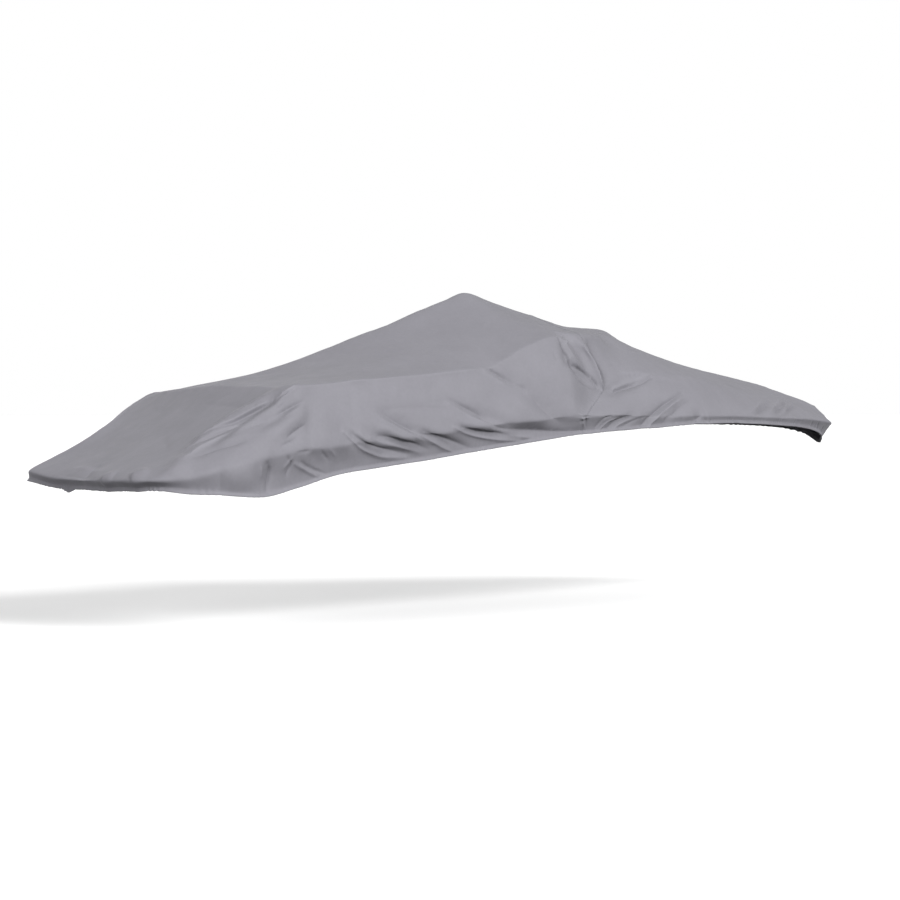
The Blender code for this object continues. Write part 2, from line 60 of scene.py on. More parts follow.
# ---------------------------------------------------------------- the draped form
# The lines of the boat that the cloth bears on, from the middle of the stern
# round each side to the bow tip.  Every point is (x, distance out from the
# centreline, z); the spine has no distance out.  Belly is the slack between
# the rail and the shoulder.
Section = namedtuple("Section", "name belly hem rail shoulder crown spine")
SECTIONS = tuple(Section(*row) for row in (
    ("stern", -0.045, (-3.555, 0.000, -1.575), (-3.64, 0.00, -1.50),
     (-2.50, 0.00, -0.795), (-2.34, 0.00, -0.760), (-2.18, -0.715)),
    ("stern half", -0.045, (-3.545, 0.440, -1.570), (-3.63, 0.45, -1.495),
     (-2.49, 0.50, -0.805), (-2.28, 0.28, -0.760), (-2.08, -0.695)),
    ("platform corner", -0.050, (-3.46, 0.770, -1.560), (-3.54, 0.81, -1.49),
     (-2.47, 0.92, -0.815), (-2.20, 0.47, -0.760), (-1.98, -0.670)),
    ("platform side", -0.020, (-3.29, 0.935, -1.580), (-3.34, 0.98, -1.475),
     (-2.44, 1.01, -0.805), (-2.14, 0.52, -0.750), (-1.89, -0.645)),
    ("fan", 0.000, (-3.06, 1.060, -1.600), (-3.10, 1.11, -1.41),
     (-2.39, 1.05, -0.800), (-2.08, 0.54, -0.735), (-1.80, -0.620)),
    ("quarter", 0.020, (-2.80, 1.145, -1.620), (-2.80, 1.21, -1.335),
     (-2.29, 1.06, -0.795), (-1.99, 0.54, -0.715), (-1.70, -0.590)),
    ("aft coaming", 0.020, (-2.50, 1.150, -1.560), (-2.50, 1.235, -1.285),
     (-2.14, 1.06, -0.785), (-1.84, 0.54, -0.690), (-1.55, -0.540)),
    ("aft cockpit", 0.020, (-2.10, 1.145, -1.460), (-2.10, 1.24, -1.245),
     (-1.90, 1.055, -0.760), (-1.62, 0.54, -0.640), (-1.36, -0.475)),
    ("cockpit", 0.015, (-1.65, 1.145, -1.405), (-1.65, 1.24, -1.200),
     (-1.55, 1.055, -0.735), (-1.32, 0.54, -0.580), (-1.10, -0.385)),
    ("mid cockpit", 0.015, (-1.20, 1.145, -1.350), (-1.20, 1.24, -1.165),
     (-1.18, 1.055, -0.700), (-0.98, 0.56, -0.515), (-0.78, -0.280)),
    ("fore cockpit", 0.010, (-0.75, 1.150, -1.295), (-0.75, 1.24, -1.105),
     (-0.86, 1.055, -0.665), (-0.65, 0.60, -0.455), (-0.45, -0.155)),
    ("screen foot", 0.010, (-0.38, 1.155, -1.250), (-0.38, 1.24, -1.080),
     (-0.60, 1.05, -0.648), (-0.38, 0.64, -0.400), (-0.19, -0.058)),
    ("screen edge", 0.020, (-0.06, 1.155, -1.215), (-0.06, 1.235, -1.055),
     (-0.14, 0.99, -0.470), (-0.04, 0.70, -0.345), (0.00, 0.003)),
    ("screen top", 0.020, (0.14, 1.155, -1.190), (0.14, 1.23, -1.040),
     (0.22, 0.955, -0.385), (0.20, 0.74, -0.320), (0.26, -0.066)),
    ("seam", -0.010, (0.28, 1.150, -1.175), (0.26, 1.225, -1.030),
     (0.64, 1.00, -0.815), (0.52, 0.84, -0.360), (0.68, -0.170)),
    ("foredeck", 0.010, (0.65, 1.150, -1.150), (0.65, 1.21, -1.025),
     (0.96, 0.955, -0.770), (0.84, 0.68, -0.350), (1.14, -0.266)),
    ("screen front", 0.015, (1.10, 1.128, -1.125), (1.10, 1.17, -1.035),
     (1.28, 0.90, -0.690), (1.14, 0.44, -0.345), (1.48, -0.279)),
    ("fore hatch", 0.020, (1.60, 1.060, -1.100), (1.60, 1.09, -1.030),
     (1.70, 0.80, -0.690), (1.66, 0.38, -0.480), (1.78, -0.396)),
    ("bow well", 0.020, (2.10, 0.950, -1.090), (2.10, 0.98, -1.030),
     (2.15, 0.68, -0.740), (2.16, 0.34, -0.600), (2.18, -0.510)),
    ("bow seat", 0.020, (2.60, 0.808, -1.100), (2.60, 0.84, -1.040),
     (2.60, 0.56, -0.800), (2.60, 0.28, -0.690), (2.62, -0.608)),
    ("fore well", 0.020, (3.08, 0.637, -1.115), (3.10, 0.67, -1.050),
     (3.06, 0.43, -0.860), (3.05, 0.21, -0.755), (3.04, -0.682)),
    ("bow deck", 0.015, (3.51, 0.450, -1.135), (3.55, 0.485, -1.060),
     (3.46, 0.31, -0.915), (3.42, 0.15, -0.820), (3.40, -0.745)),
    ("bow", 0.010, (3.88, 0.268, -1.175), (3.95, 0.31, -1.080),
     (3.83, 0.18, -0.965), (3.76, 0.09, -0.885), (3.72, -0.825)),
    ("bow round", 0.005, (4.09, 0.120, -1.225), (4.22, 0.15, -1.100),
     (4.10, 0.08, -1.000), (4.02, 0.04, -0.935), (3.97, -0.885)),
    ("bow tip", 0.000, (4.19, 0.00, -1.275), (4.36, 0.00, -1.110),
     (4.27, 0.00, -1.025), (4.20, 0.00, -0.980), (4.14, -0.940)),
))
# Where the port side hangs differently: section, line, then the change.
PORT_CHANGES = (
    ("platform corner", "hem", (-0.135, 0.095, 0.028)),
    ("platform corner", "rail", (-0.07, 0.06, 0.050)),
    ("platform corner", "shoulder", (0.05, 0.02, 0.005)),
    ("platform side", "hem", (-0.05, 0.02, 0.050)),
    ("platform side", "rail", (-0.03, 0.02, 0.030)),
    ("platform side", "shoulder", (0.06, 0.01, -0.005)),
    ("fan", "hem", (-0.02, 0.00, 0.040)),
    ("fan", "shoulder", (0.03, 0.00, -0.010)),
    ("quarter", "hem", (0.00, 0.00, 0.030)),
    ("cockpit", "hem", (0.00, 0.00, -0.020)),
    ("fore cockpit", "hem", (0.00, 0.00, 0.015)),
    ("fore well", "hem", (0.00, 0.00, 0.010)),
    ("bow deck", "hem", (0.00, 0.00, 0.030)),
    ("bow", "hem", (0.00, 0.00, 0.050)),
    ("bow round", "hem", (0.00, 0.00, 0.050)),
)
# Broad folds of the cloth: side, width, rise (+) or sink (-), path.
Fold = namedtuple("Fold", "side width rise path")
FOLDS = tuple(Fold(*row) for row in (
    # The stern quarter: folds fan out from the coaming's corner.
    (STARBOARD, 0.17, 0.045, ((-2.44, 1.00, -0.80), (-2.61, 0.89, -0.92), (-2.81, 0.76, -1.06),
     (-3.00, 0.74, -1.19), (-3.25, 0.80, -1.33))),
    (STARBOARD, 0.13, -0.042, ((-2.51, 1.04, -0.89), (-2.67, 0.92, -0.97), (-2.90, 0.83, -1.12))),
    (STARBOARD, 0.13, 0.027, ((-2.42, 1.07, -0.85), (-2.70, 1.01, -1.03), (-2.95, 0.95, -1.20))),
    (STARBOARD, 0.12, -0.031, ((-2.41, 1.11, -0.92), (-2.63, 1.09, -1.03), (-2.80, 1.03, -1.11))),
    (STARBOARD, 0.14, 0.020, ((-2.38, 1.13, -0.95), (-2.55, 1.16, -1.09), (-2.85, 1.10, -1.24))),
    (STARBOARD, 0.12, -0.020, ((-2.44, 1.18, -1.09), (-2.60, 1.19, -1.19))),
    (STARBOARD, 0.14, -0.024, ((-2.33, 1.10, -0.90), (-2.38, 1.19, -1.11), (-2.42, 1.23, -1.25))),
    # Lumps where the cloth turns over the edge of the swim platform.
    (STARBOARD, 0.16, 0.024, ((-3.56, 0.35, -1.44), (-3.60, 0.22, -1.50))),
    (STARBOARD, 0.15, 0.027, ((-3.45, 0.66, -1.42), (-3.56, 0.58, -1.50))),
    (STARBOARD, 0.16, 0.027, ((-3.20, 0.80, -1.33), (-3.42, 0.88, -1.47))),
    (PORT, 0.18, -0.020, ((-3.40, 0.10, -1.41), (-3.62, 0.05, -1.50))),
    # The skirt under the quarter: a full bulge, then pinched in.
    (STARBOARD, 0.22, 0.045, ((-3.12, 1.10, -1.50), (-2.97, 1.16, -1.49), (-2.84, 1.21, -1.48))),
    (STARBOARD, 0.10, -0.034, ((-2.77, 1.22, -1.40), (-2.74, 1.21, -1.60))),
    (STARBOARD, 0.09, 0.020, ((-2.66, 1.23, -1.36), (-2.62, 1.22, -1.55))),
    (STARBOARD, 0.09, 0.020, ((-2.55, 1.24, -1.37), (-2.33, 1.23, -1.50))),
    (STARBOARD, 0.12, -0.020, ((-2.42, 1.24, -1.31), (-2.22, 1.23, -1.43))),
    # Drag folds that run aft and up from the skirt.
    (STARBOARD, 0.10, -0.034, ((-2.13, 1.21, -1.14), (-1.99, 1.24, -1.24), (-1.77, 1.24, -1.33),
     (-1.52, 1.23, -1.35))),
    (STARBOARD, 0.11, 0.031, ((-2.02, 1.23, -1.16), (-1.84, 1.24, -1.27), (-1.62, 1.24, -1.31))),
    (STARBOARD, 0.10, -0.031, ((-1.90, 1.22, -1.17), (-1.73, 1.24, -1.21), (-1.60, 1.24, -1.26),
     (-1.37, 1.23, -1.33))),
    (STARBOARD, 0.12, 0.027, ((-1.78, 1.20, -1.08), (-1.58, 1.24, -1.18), (-1.36, 1.24, -1.26))),
    (STARBOARD, 0.12, -0.027, ((-1.80, 1.16, -0.98), (-1.58, 1.21, -1.08), (-1.40, 1.24, -1.17),
     (-1.13, 1.23, -1.30))),
    (STARBOARD, 0.13, -0.031, ((-1.06, 1.15, -0.90), (-0.91, 1.19, -0.99), (-0.69, 1.22, -1.05),
     (-0.45, 1.24, -1.15), (0.03, 1.22, -1.17))),
    (STARBOARD, 0.11, -0.027, ((-1.10, 1.22, -1.10), (-0.90, 1.24, -1.17), (-0.45, 1.23, -1.23))),
    (STARBOARD, 0.12, 0.024, ((-0.98, 1.22, -1.07), (-0.70, 1.24, -1.14), (-0.30, 1.23, -1.20))),
    # From the foot of the windscreen down to the seam.
    (STARBOARD, 0.19, -0.039, ((-0.60, 1.04, -0.65), (-0.30, 1.14, -0.80), (-0.17, 1.19, -0.93),
     (0.00, 1.23, -1.05), (0.20, 1.22, -1.14))),
    # Round the front corner of the windscreen.
    (STARBOARD, 0.11, -0.036, ((0.24, 0.97, -0.42), (0.23, 1.05, -0.58), (0.34, 1.05, -0.67),
     (0.56, 1.00, -0.79))),
    (STARBOARD, 0.10, 0.036, ((0.43, 0.86, -0.38), (0.55, 0.89, -0.49), (0.58, 0.94, -0.64),
     (0.64, 0.99, -0.79))),
    (STARBOARD, 0.16, -0.034, ((0.62, 0.80, -0.42), (0.70, 0.88, -0.60), (0.70, 0.97, -0.78))),
    (STARBOARD, 0.12, -0.031, ((0.65, 1.01, -0.83), (0.79, 1.00, -0.81), (1.00, 0.95, -0.76),
     (1.28, 0.88, -0.69))),
    # Gathers at the seam's foot and along the foredeck's skirt.
    (STARBOARD, 0.10, -0.024, ((0.50, 1.21, -1.13), (0.76, 1.20, -1.05), (0.90, 1.19, -0.99))),
    (STARBOARD, 0.13, -0.024, ((0.88, 1.18, -1.12), (1.01, 1.18, -1.05), (1.36, 1.06, -0.91))),
    (STARBOARD, 0.12, 0.018, ((1.02, 1.17, -1.10), (1.24, 1.13, -1.00), (1.46, 1.05, -0.90))),
    (STARBOARD, 0.10, -0.020, ((1.17, 1.16, -1.06), (1.45, 1.10, -0.95))),
    (STARBOARD, 0.10, -0.020, ((1.58, 1.08, -1.07), (1.72, 1.06, -1.01))),
    # Soft hollows near the bow.
    (STARBOARD, 0.14, -0.020, ((2.95, 0.57, -0.91), (2.62, 0.80, -1.01))),
    (STARBOARD, 0.14, -0.020, ((3.24, 0.47, -0.93), (2.94, 0.70, -1.01))),
    (STARBOARD, 0.14, -0.017, ((3.60, 0.27, -0.93), (3.25, 0.58, -1.02))),
    # The port side, which hangs a little less tightly.
    (PORT, 0.18, 0.039, ((-2.38, 1.02, -0.84), (-2.66, 0.92, -1.00), (-2.98, 0.82, -1.20),
     (-3.26, 0.84, -1.36))),
    (PORT, 0.14, -0.037, ((-2.44, 1.08, -0.92), (-2.72, 1.00, -1.07), (-2.98, 0.95, -1.22))),
    (PORT, 0.13, -0.027, ((-2.36, 1.13, -0.97), (-2.58, 1.16, -1.12))),
    (PORT, 0.22, 0.036, ((-3.06, 1.12, -1.48), (-2.80, 1.21, -1.46))),
    (PORT, 0.12, -0.027, ((-2.60, 1.23, -1.36), (-2.48, 1.22, -1.54))),
    (PORT, 0.13, -0.034, ((-2.20, 1.20, -1.12), (-1.96, 1.24, -1.25), (-1.60, 1.23, -1.36))),
    (PORT, 0.14, 0.024, ((-1.95, 1.20, -1.12), (-1.66, 1.24, -1.24))),
    (PORT, 0.14, -0.031, ((-1.62, 1.16, -0.98), (-1.34, 1.22, -1.12), (-1.05, 1.24, -1.24))),
    (PORT, 0.16, -0.031, ((-0.98, 1.14, -0.88), (-0.60, 1.22, -1.04), (-0.10, 1.22, -1.16))),
    (PORT, 0.20, -0.037, ((-0.60, 1.04, -0.69), (-0.26, 1.15, -0.86), (0.06, 1.23, -1.08))),
    (PORT, 0.13, -0.037, ((0.26, 0.98, -0.48), (0.30, 1.05, -0.66), (0.58, 1.01, -0.82))),
    (PORT, 0.12, 0.034, ((0.50, 0.86, -0.44), (0.62, 0.95, -0.72))),
    (PORT, 0.13, -0.027, ((0.66, 1.01, -0.86), (0.98, 0.96, -0.80), (1.24, 0.90, -0.73))),
    (PORT, 0.13, -0.031, ((0.74, 1.19, -1.12), (1.30, 1.08, -0.94))),
    (PORT, 0.13, -0.020, ((2.20, 0.92, -1.06), (2.55, 0.74, -0.94))),
    (PORT, 0.14, -0.020, ((3.30, 0.46, -0.96), (3.00, 0.66, -1.03))),
))
# Where the hem drops below its line: side, place, width, drop.
HEM_DROPS = (
    (PORT, (-3.54, 0.32, -1.56), 0.10, 0.030),
    (STARBOARD, (-3.30, 0.98, -1.58), 0.22, 0.010),
    (STARBOARD, (-1.30, 1.22, -1.36), 0.30, 0.006),
)
DROP_EASING = 0.2             # how much less the top of the hem drops than its edge
SKIRT_BELLY = -0.026
TOP_SAG = -0.012
SLACK_REACH = 0.4             # a run of cloth this long hangs with its full slack
PORT_SLUMP = 0.04             # how much lower the port side hangs, for each metre out
FOLD_FADE = 0.35              # share of a fold's length over which it dies away
FOLD_END = 0.25               # share of its height that is left at its tips
FOLD_REACH = 1.5              # widths from its line at which a fold is no longer felt
FOLD_NARROWNESS = 2.0
FAR_CLOTH = 2.0               # how much more a gap counts on cloth that faces past a path
CREASE_END = 0.3
CREASE_REACH = 2.0
CREASE_SHARPNESS = 1.35       # 2 is rounded; 1 comes to an edge
CREASE_SEARCH = 0.15          # how far from a crease's line the cloth is looked for
PATH_STEP = 0.25              # share of the way to a path's next point on its curve
# Soft unevenness all over the cloth: height, wavelength, seed.
WAVES = ((0.0013, 0.34, 3), (0.0005, 0.11, 5))
WAVE_COUNT = 14
WAVE_SPREAD = (0.7, 1.6)      # shortest and longest wave, as shares of the wavelength
# The pleats that the draw cord pulls into the hem, and the seam's puckers.
GATHER_LENGTH, GATHER_FADE, GATHER_SEED = 0.055, 0.055, 11
BOW_GATHERS = 1.0             # how much deeper the hem's gathers are at the bow
BOW_GATHERS_START, BOW_GATHERS_RUN = 0.6, 1.5   # where they deepen, and over what length
PUCKER_LENGTH, PUCKER_FADE, PUCKER_SEED = 0.048, 0.05, 21
PUCKER_TOP, PUCKER_LEAST = 1.4, 0.2   # height where puckers are least, and their share there
# How the pleats wander and how their size varies: over how many, and how much.
PLEAT_SHIFT_REACH, PLEAT_SHIFT = 5, 0.4
PLEAT_SIZE_REACH, PLEAT_SIZE, PLEAT_SIZE_CHANGE, PLEAT_LARGEST = 7, 0.55, 0.45, 1.4
# The hem's relief: a doubled band, its draw cord, the groove of its stitches,
# the edge turned in, and the flare of the whole.
DOUBLED_RISE, DOUBLED_EASING = 0.0018, 0.004
CORD_RISE, CORD_HEIGHT, CORD_WIDTH = 0.0032, 0.006, 0.005
GROOVE_DEPTH, GROOVE_DROP, GROOVE_WIDTH = 0.0014, 0.004, 0.003
TURN_DEPTH, TURN_WIDTH = 0.0085, 0.0032
FLARE, SKIRT_FLARE, SKIRT_FLARE_HEIGHT = 0.016, 0.004, 0.05

# Narrow creases: side, width at each end, rise or sink, share of it at each
# end, path.
Crease = namedtuple("Crease", "side widths rise ends path")


def starboard_crease(widths, rise, ends, path):
    """A crease of the starboard side, from sizes in millimetres."""
    return Crease(STARBOARD, [width / 1000 for width in widths], rise / 1000, ends,
                  [[size / 1000 for size in point] for point in path])


# On the port side a crease keeps to each fold's line and another lies beside
# it: which way each turns, its rise, and how far beside the line it lies.
PORT_WIDTHS, PORT_ENDS = (0.030, 0.046), (0.4, 0.3)
PORT_CREASES = ((-1, 0.013, 0.0), (1, 0.010, 0.055))
BESIDE_SLANT = 0.3
CREASES = tuple(starboard_crease(*row) for row in (
    # Round the quarter, from the corner of the coaming.
    ((27, 39), 22.4, (0.7, 0.55), ((-2438, 1044, -812), (-2542, 1013, -879), (-2656, 892, -960),
     (-2827, 802, -1064), (-2993, 733, -1159), (-3138, 688, -1247))),
    ((24, 36), -24, (0.4, 0.55), ((-2508, 1042, -864), (-2597, 962, -923), (-2689, 888, -997),
     (-2810, 830, -1064), (-2939, 758, -1130), (-3125, 695, -1240))),
    ((24, 24), 12.8, (0.5, 0.3), ((-2431, 1061, -827), (-2513, 1049, -879), (-2588, 1027, -931))),
    ((22, 31), 16, (0.7, 0.5), ((-2850, 943, -1107), (-2912, 905, -1144), (-2987, 859, -1192),
     (-3122, 826, -1261), (-3254, 843, -1318))),
    ((20, 29), -19.2, (0.6, 0.5), ((-2816, 865, -1086), (-2885, 836, -1126), (-3000, 798, -1188),
     (-3115, 760, -1247), (-3202, 734, -1298))),
    ((25, 25), -8, (0.3, 0.3), ((-2679, 1056, -1056), (-2771, 1036, -1093), (-2879, 988, -1136))),
    ((25, 34), -12.8, (0.3, 0.3), ((-2862, 1092, -1202), (-2973, 1023, -1238), (-3088, 934, -1274),
     (-3197, 889, -1318))),
    ((34, 43), 6.4, (0.3, 0.3), ((-2829, 1070, -1158), (-2947, 983, -1195), (-3041, 888, -1231))),
    ((22, 22), -8, (0.3, 0.3), ((-2543, 1066, -931), (-2607, 1056, -975))),
    ((24, 24), -16, (0.3, 0.3), ((-2408, 1105, -923), (-2524, 1090, -975), (-2618, 1071, -1027))),
    ((27, 27), 6.4, (0.3, 0.3), ((-2402, 1121, -953), (-2508, 1120, -997), (-2592, 1111, -1041))),
    ((22, 22), -9.6, (0.3, 0.3), ((-2426, 1169, -1093), (-2515, 1181, -1137),
     (-2603, 1192, -1188))),
    ((24, 24), -9.6, (0.3, 0.3), ((-2505, 1192, -1181), (-2582, 1200, -1217),
     (-2664, 1204, -1246))),
    ((22, 22), -6.4, (0.2, 0.6), ((-2670, 122, -929), (-2680, 414, -944), (-2685, 694, -953),
     (-2658, 867, -953))),
    ((29, 29), -4.8, (0.3, 0.3), ((-2692, -508, -974), (-2736, -377, -997))),
    ((59, 59), -6.4, (0.2, 0.2), ((-3030, 190, -1178), (-3220, 550, -1292))),
    ((59, 59), -9.6, (0.2, 0.2), ((-3580, -450, -1472), (-3580, -120, -1477), (-3620, 230, -1484))),
    ((51, 51), 9.6, (0.2, 0.2), ((-3500, -520, -1432), (-3480, -230, -1427), (-3520, 130, -1443))),
    # The shoulder's edge, where the top turns down to the side.
    ((26, 26), 7, (0.6, 0.6), ((-2340, 1060, -800), (-1900, 1060, -760), (-1550, 1060, -735),
     (-1150, 1060, -710), (-800, 1050, -680), (-550, 1040, -640))),
    # The side, where the cloth drags aft and up.
    ((25, 25), 6.4, (0.2, 0.2), ((-1974, 1058, -772), (-1767, 1056, -752))),
    ((20, 29), -17.6, (0.6, 0.5), ((-597, 1039, -652), (-482, 1059, -710), (-372, 1086, -769))),
    ((29, 34), 8, (0.5, 0.3), ((-645, 1061, -684), (-532, 1083, -746), (-422, 1109, -809))),
    ((22, 22), -8, (0.4, 0.3), ((-363, 1087, -776), (-253, 1115, -819))),
    ((51, 68), -11.2, (0.3, 0.3), ((-280, 1120, -808), (-190, 1150, -910), (-80, 1190, -1021),
     (100, 1180, -1109))),
    ((43, 43), -6.4, (0.2, 0.2), ((-1729, 1158, -975), (-1357, 1168, -959), (-1053, 1175, -974))),
    ((34, 34), -4.8, (0.2, 0.2), ((-1308, 1154, -921), (-1033, 1150, -905))),
    ((25, 37), -16, (0.3, 0.5), ((-1068, 1145, -886), (-930, 1169, -959), (-791, 1193, -1020),
     (-661, 1230, -1106), (-558, 1214, -1130))),
    ((29, 34), 9.6, (0.3, 0.4), ((-1099, 1159, -920), (-960, 1182, -993), (-831, 1218, -1055),
     (-678, 1226, -1137))),
    ((51, 51), -20.8, (0.4, 0.4), ((-610, 1220, -1129), (-280, 1190, -1151), (50, 1170, -1156),
     (310, 1160, -1149))),
    ((39, 39), 12.8, (0.3, 0.3), ((-570, 1203, -1177), (-212, 1165, -1206))),
    ((24, 32), -12.8, (0.3, 0.4), ((-1751, 1162, -990), (-1637, 1185, -1050), (-1508, 1215, -1111),
     (-1398, 1221, -1161), (-1239, 1214, -1207), (-1084, 1190, -1258))),
    ((27, 29), 9.6, (0.3, 0.4), ((-1777, 1172, -1020), (-1666, 1198, -1080), (-1535, 1226, -1141),
     (-1425, 1231, -1195), (-1245, 1196, -1242))),
    ((31, 51), 17.6, (0.6, 0.3), ((-2103, 1212, -1146), (-2039, 1225, -1206), (-1959, 1217, -1266),
     (-1856, 1202, -1308), (-1708, 1179, -1340), (-1489, 1165, -1347))),
    ((34, 48), -20.8, (0.4, 0.3), ((-2029, 1211, -1158), (-1952, 1232, -1214), (-1850, 1232, -1259),
     (-1666, 1199, -1291), (-1458, 1174, -1324))),
    ((31, 48), 16, (0.6, 0.3), ((-1875, 1228, -1188), (-1740, 1223, -1234), (-1568, 1194, -1266),
     (-1345, 1177, -1314))),
    ((37, 48), -19.2, (0.4, 0.3), ((-1777, 1221, -1177), (-1642, 1229, -1208), (-1477, 1224, -1244),
     (-1274, 1184, -1288))),
    ((24, 34), 14.4, (0.6, 0.3), ((-1445, 1208, -1145), (-1313, 1210, -1207), (-1113, 1177, -1285),
     (-997, 1154, -1313))),
    ((39, 48), -20.8, (0.4, 0.3), ((-1355, 1215, -1142), (-1206, 1221, -1196), (-1043, 1200, -1236),
     (-871, 1168, -1276))),
    ((25, 37), 16, (0.6, 0.3), ((-1071, 1223, -1116), (-943, 1209, -1163), (-793, 1196, -1195),
     (-581, 1181, -1216), (-370, 1170, -1225))),
    ((34, 39), -17.6, (0.4, 0.4), ((-994, 1224, -1116), (-831, 1218, -1156), (-601, 1204, -1176),
     (-385, 1188, -1185))),
    ((51, 51), -4.8, (0.2, 0.2), ((-1970, 1100, -847), (-2000, 1170, -997))),
    ((59, 59), 4.8, (0.2, 0.2), ((-1530, 1070, -769), (-1560, 1140, -906))),
    ((51, 51), -4.8, (0.2, 0.2), ((-1170, 1080, -751), (-1240, 1140, -875))),
    # The skirt under the quarter.
    ((29, 29), -17.6, (0.5, 0.5), ((-2772, 1206, -1383), (-2747, 1195, -1449),
     (-2751, 1162, -1567))),
    ((32, 32), 12.8, (0.4, 0.3), ((-2832, 1205, -1390), (-2810, 1184, -1492))),
    ((20, 20), -11.2, (0.4, 0.4), ((-2609, 1226, -1334), (-2569, 1220, -1393),
     (-2593, 1202, -1466))),
    ((20, 20), 8, (0.4, 0.4), ((-2564, 1225, -1342), (-2626, 1213, -1422))),
    ((22, 22), 14.4, (0.5, 0.3), ((-2535, 1222, -1390), (-2420, 1197, -1436),
     (-2305, 1162, -1479))),
    ((25, 25), -14.4, (0.4, 0.3), ((-2483, 1223, -1372), (-2362, 1192, -1422),
     (-2232, 1162, -1457))),
    ((20, 20), -8, (0.4, 0.4), ((-2532, 1231, -1298), (-2413, 1226, -1284))),
    ((22, 22), -8, (0.4, 0.4), ((-2313, 1226, -1293), (-2223, 1201, -1368))),
    ((20, 20), 6.4, (0.4, 0.4), ((-2246, 1234, -1271), (-2166, 1211, -1339))),
    # Round the front corner of the windscreen.
    ((21, 25), -24, (0.6, 0.5), ((211, 942, -385), (220, 980, -466), (257, 1005, -554),
     (282, 1031, -627), (352, 1019, -707))),
    ((21, 24), 14.4, (0.7, 0.5), ((360, 823, -375), (276, 971, -457), (319, 995, -545),
     (366, 1002, -626))),
    ((22, 22), 24, (0.5, 0.8), ((517, 902, -460), (562, 938, -557), (596, 972, -663),
     (641, 990, -785))),
    ((24, 24), -24, (0.5, 0.8), ((615, 851, -457), (678, 866, -555), (710, 904, -661),
     (695, 965, -768))),
    ((32, 25), -27.2, (0.4, 0.7), ((311, 1017, -626), (428, 992, -665), (525, 980, -713),
     (590, 992, -786))),
    ((20, 20), -12.8, (0.3, 0.6), ((306, 1084, -748), (463, 1026, -795), (613, 1003, -822))),
    ((22, 22), 19.2, (0.7, 0.4), ((791, 961, -809), (942, 927, -771), (1120, 902, -728),
     (1284, 869, -676))),
    ((22, 22), -20.8, (0.7, 0.4), ((787, 978, -833), (950, 944, -799), (1114, 934, -757),
     (1274, 905, -706))),
    ((20, 20), 9.6, (0.3, 0.3), ((886, 878, -643), (971, 882, -679), (1290, 863, -672))),
    ((20, 20), 4.8, (0.3, 0.3), ((801, 863, -594), (971, 820, -592))),
    ((24, 24), 4.8, (0.3, 0.3), ((1282, 896, -697), (1429, 884, -709), (1679, 861, -744))),
    ((25, 25), -4.8, (0.3, 0.3), ((1282, 933, -735), (1503, 902, -746))),
    ((22, 22), -4.8, (0.3, 0.3), ((92, 1026, -525), (117, 1058, -589))),
    # Fanning forward from the foot of the seam.
    ((19, 19), 9.6, (0.4, 0.5), ((246, 1221, -1037), (286, 1181, -1117))),
    ((19, 19), -9.6, (0.4, 0.5), ((279, 1220, -1037), (318, 1181, -1117))),
    ((20, 20), -12.8, (0.6, 0.3), ((430, 1175, -1118), (500, 1205, -1049), (573, 1207, -1033))),
    ((20, 20), 11.2, (0.6, 0.3), ((476, 1159, -1134), (562, 1183, -1070), (647, 1184, -1046))),
    ((20, 20), -9.6, (0.6, 0.3), ((547, 1151, -1134), (642, 1166, -1074), (742, 1175, -1038))),
    ((20, 20), 8, (0.6, 0.3), ((609, 1142, -1143), (702, 1159, -1090), (813, 1169, -1054))),
    ((25, 25), -6.4, (0.6, 0.3), ((667, 1137, -1143), (779, 1159, -1091), (901, 1168, -1050),
     (1022, 1156, -1030))),
    ((27, 25), -19.2, (0.5, 0.3), ((938, 1128, -1111), (1051, 1149, -1022), (1241, 1087, -939),
     (1405, 1032, -881), (1551, 974, -838))),
    ((25, 25), 17.6, (0.5, 0.3), ((1021, 1121, -1112), (1128, 1150, -1026), (1323, 1084, -947),
     (1491, 1025, -889))),
    ((29, 29), -6.4, (0.4, 0.3), ((1176, 1122, -1088), (1251, 1138, -1034), (1386, 1102, -997))),
    ((34, 34), -6.4, (0.3, 0.3), ((1250, 1127, -1055), (1464, 1067, -947), (1664, 987, -888))),
    ((22, 22), -6.4, (0.4, 0.4), ((1620, 1046, -1064), (1699, 1060, -1022))),
    # Near the bow.
    ((32, 32), -12.8, (0.3, 0.3), ((2552, 837, -1023), (2818, 666, -962), (3041, 505, -899))),
    ((32, 32), 8, (0.3, 0.3), ((2415, 878, -1014), (2682, 717, -953), (2885, 574, -900))),
    ((32, 32), -14.4, (0.3, 0.3), ((2928, 692, -1014), (3243, 466, -943), (3560, 215, -897))),
    ((32, 32), 9.6, (0.3, 0.3), ((2779, 743, -1014), (3071, 543, -944), (3306, 365, -898))),
    ((29, 29), -12.8, (0.3, 0.3), ((2989, 705, -1050), (3276, 507, -988), (3683, 194, -924))),
    ((19, 19), -8, (0.5, 0.3), ((3003, 630, -1111), (3042, 677, -1041))),
    ((19, 19), -8, (0.5, 0.3), ((3944, -216, -1131), (3190, 629, -1054))),
    ((19, 19), -8, (0.5, 0.3), ((4033, -187, -1136), (3359, 550, -1068))),
    ((19, 19), -8, (0.5, 0.3), ((4105, -153, -1145), (3526, 486, -1069))),
    ((17, 17), -8, (0.5, 0.3), ((3718, 324, -1146), (3689, 415, -1078))),
    ((17, 17), -8, (0.5, 0.3), ((3866, 257, -1161), (3832, 352, -1088))),
    ((17, 17), -8, (0.5, 0.3), ((4025, 167, -1199), (4010, 243, -1125))),
    ((25, 25), -6.4, (0.2, 0.2), ((3099, 233, -778), (3503, 183, -861), (3742, 201, -947))),
    # On the top.
    ((34, 34), 6.4, (0.2, 0.2), ((-1113, 313, -481), (-1049, 440, -499))),
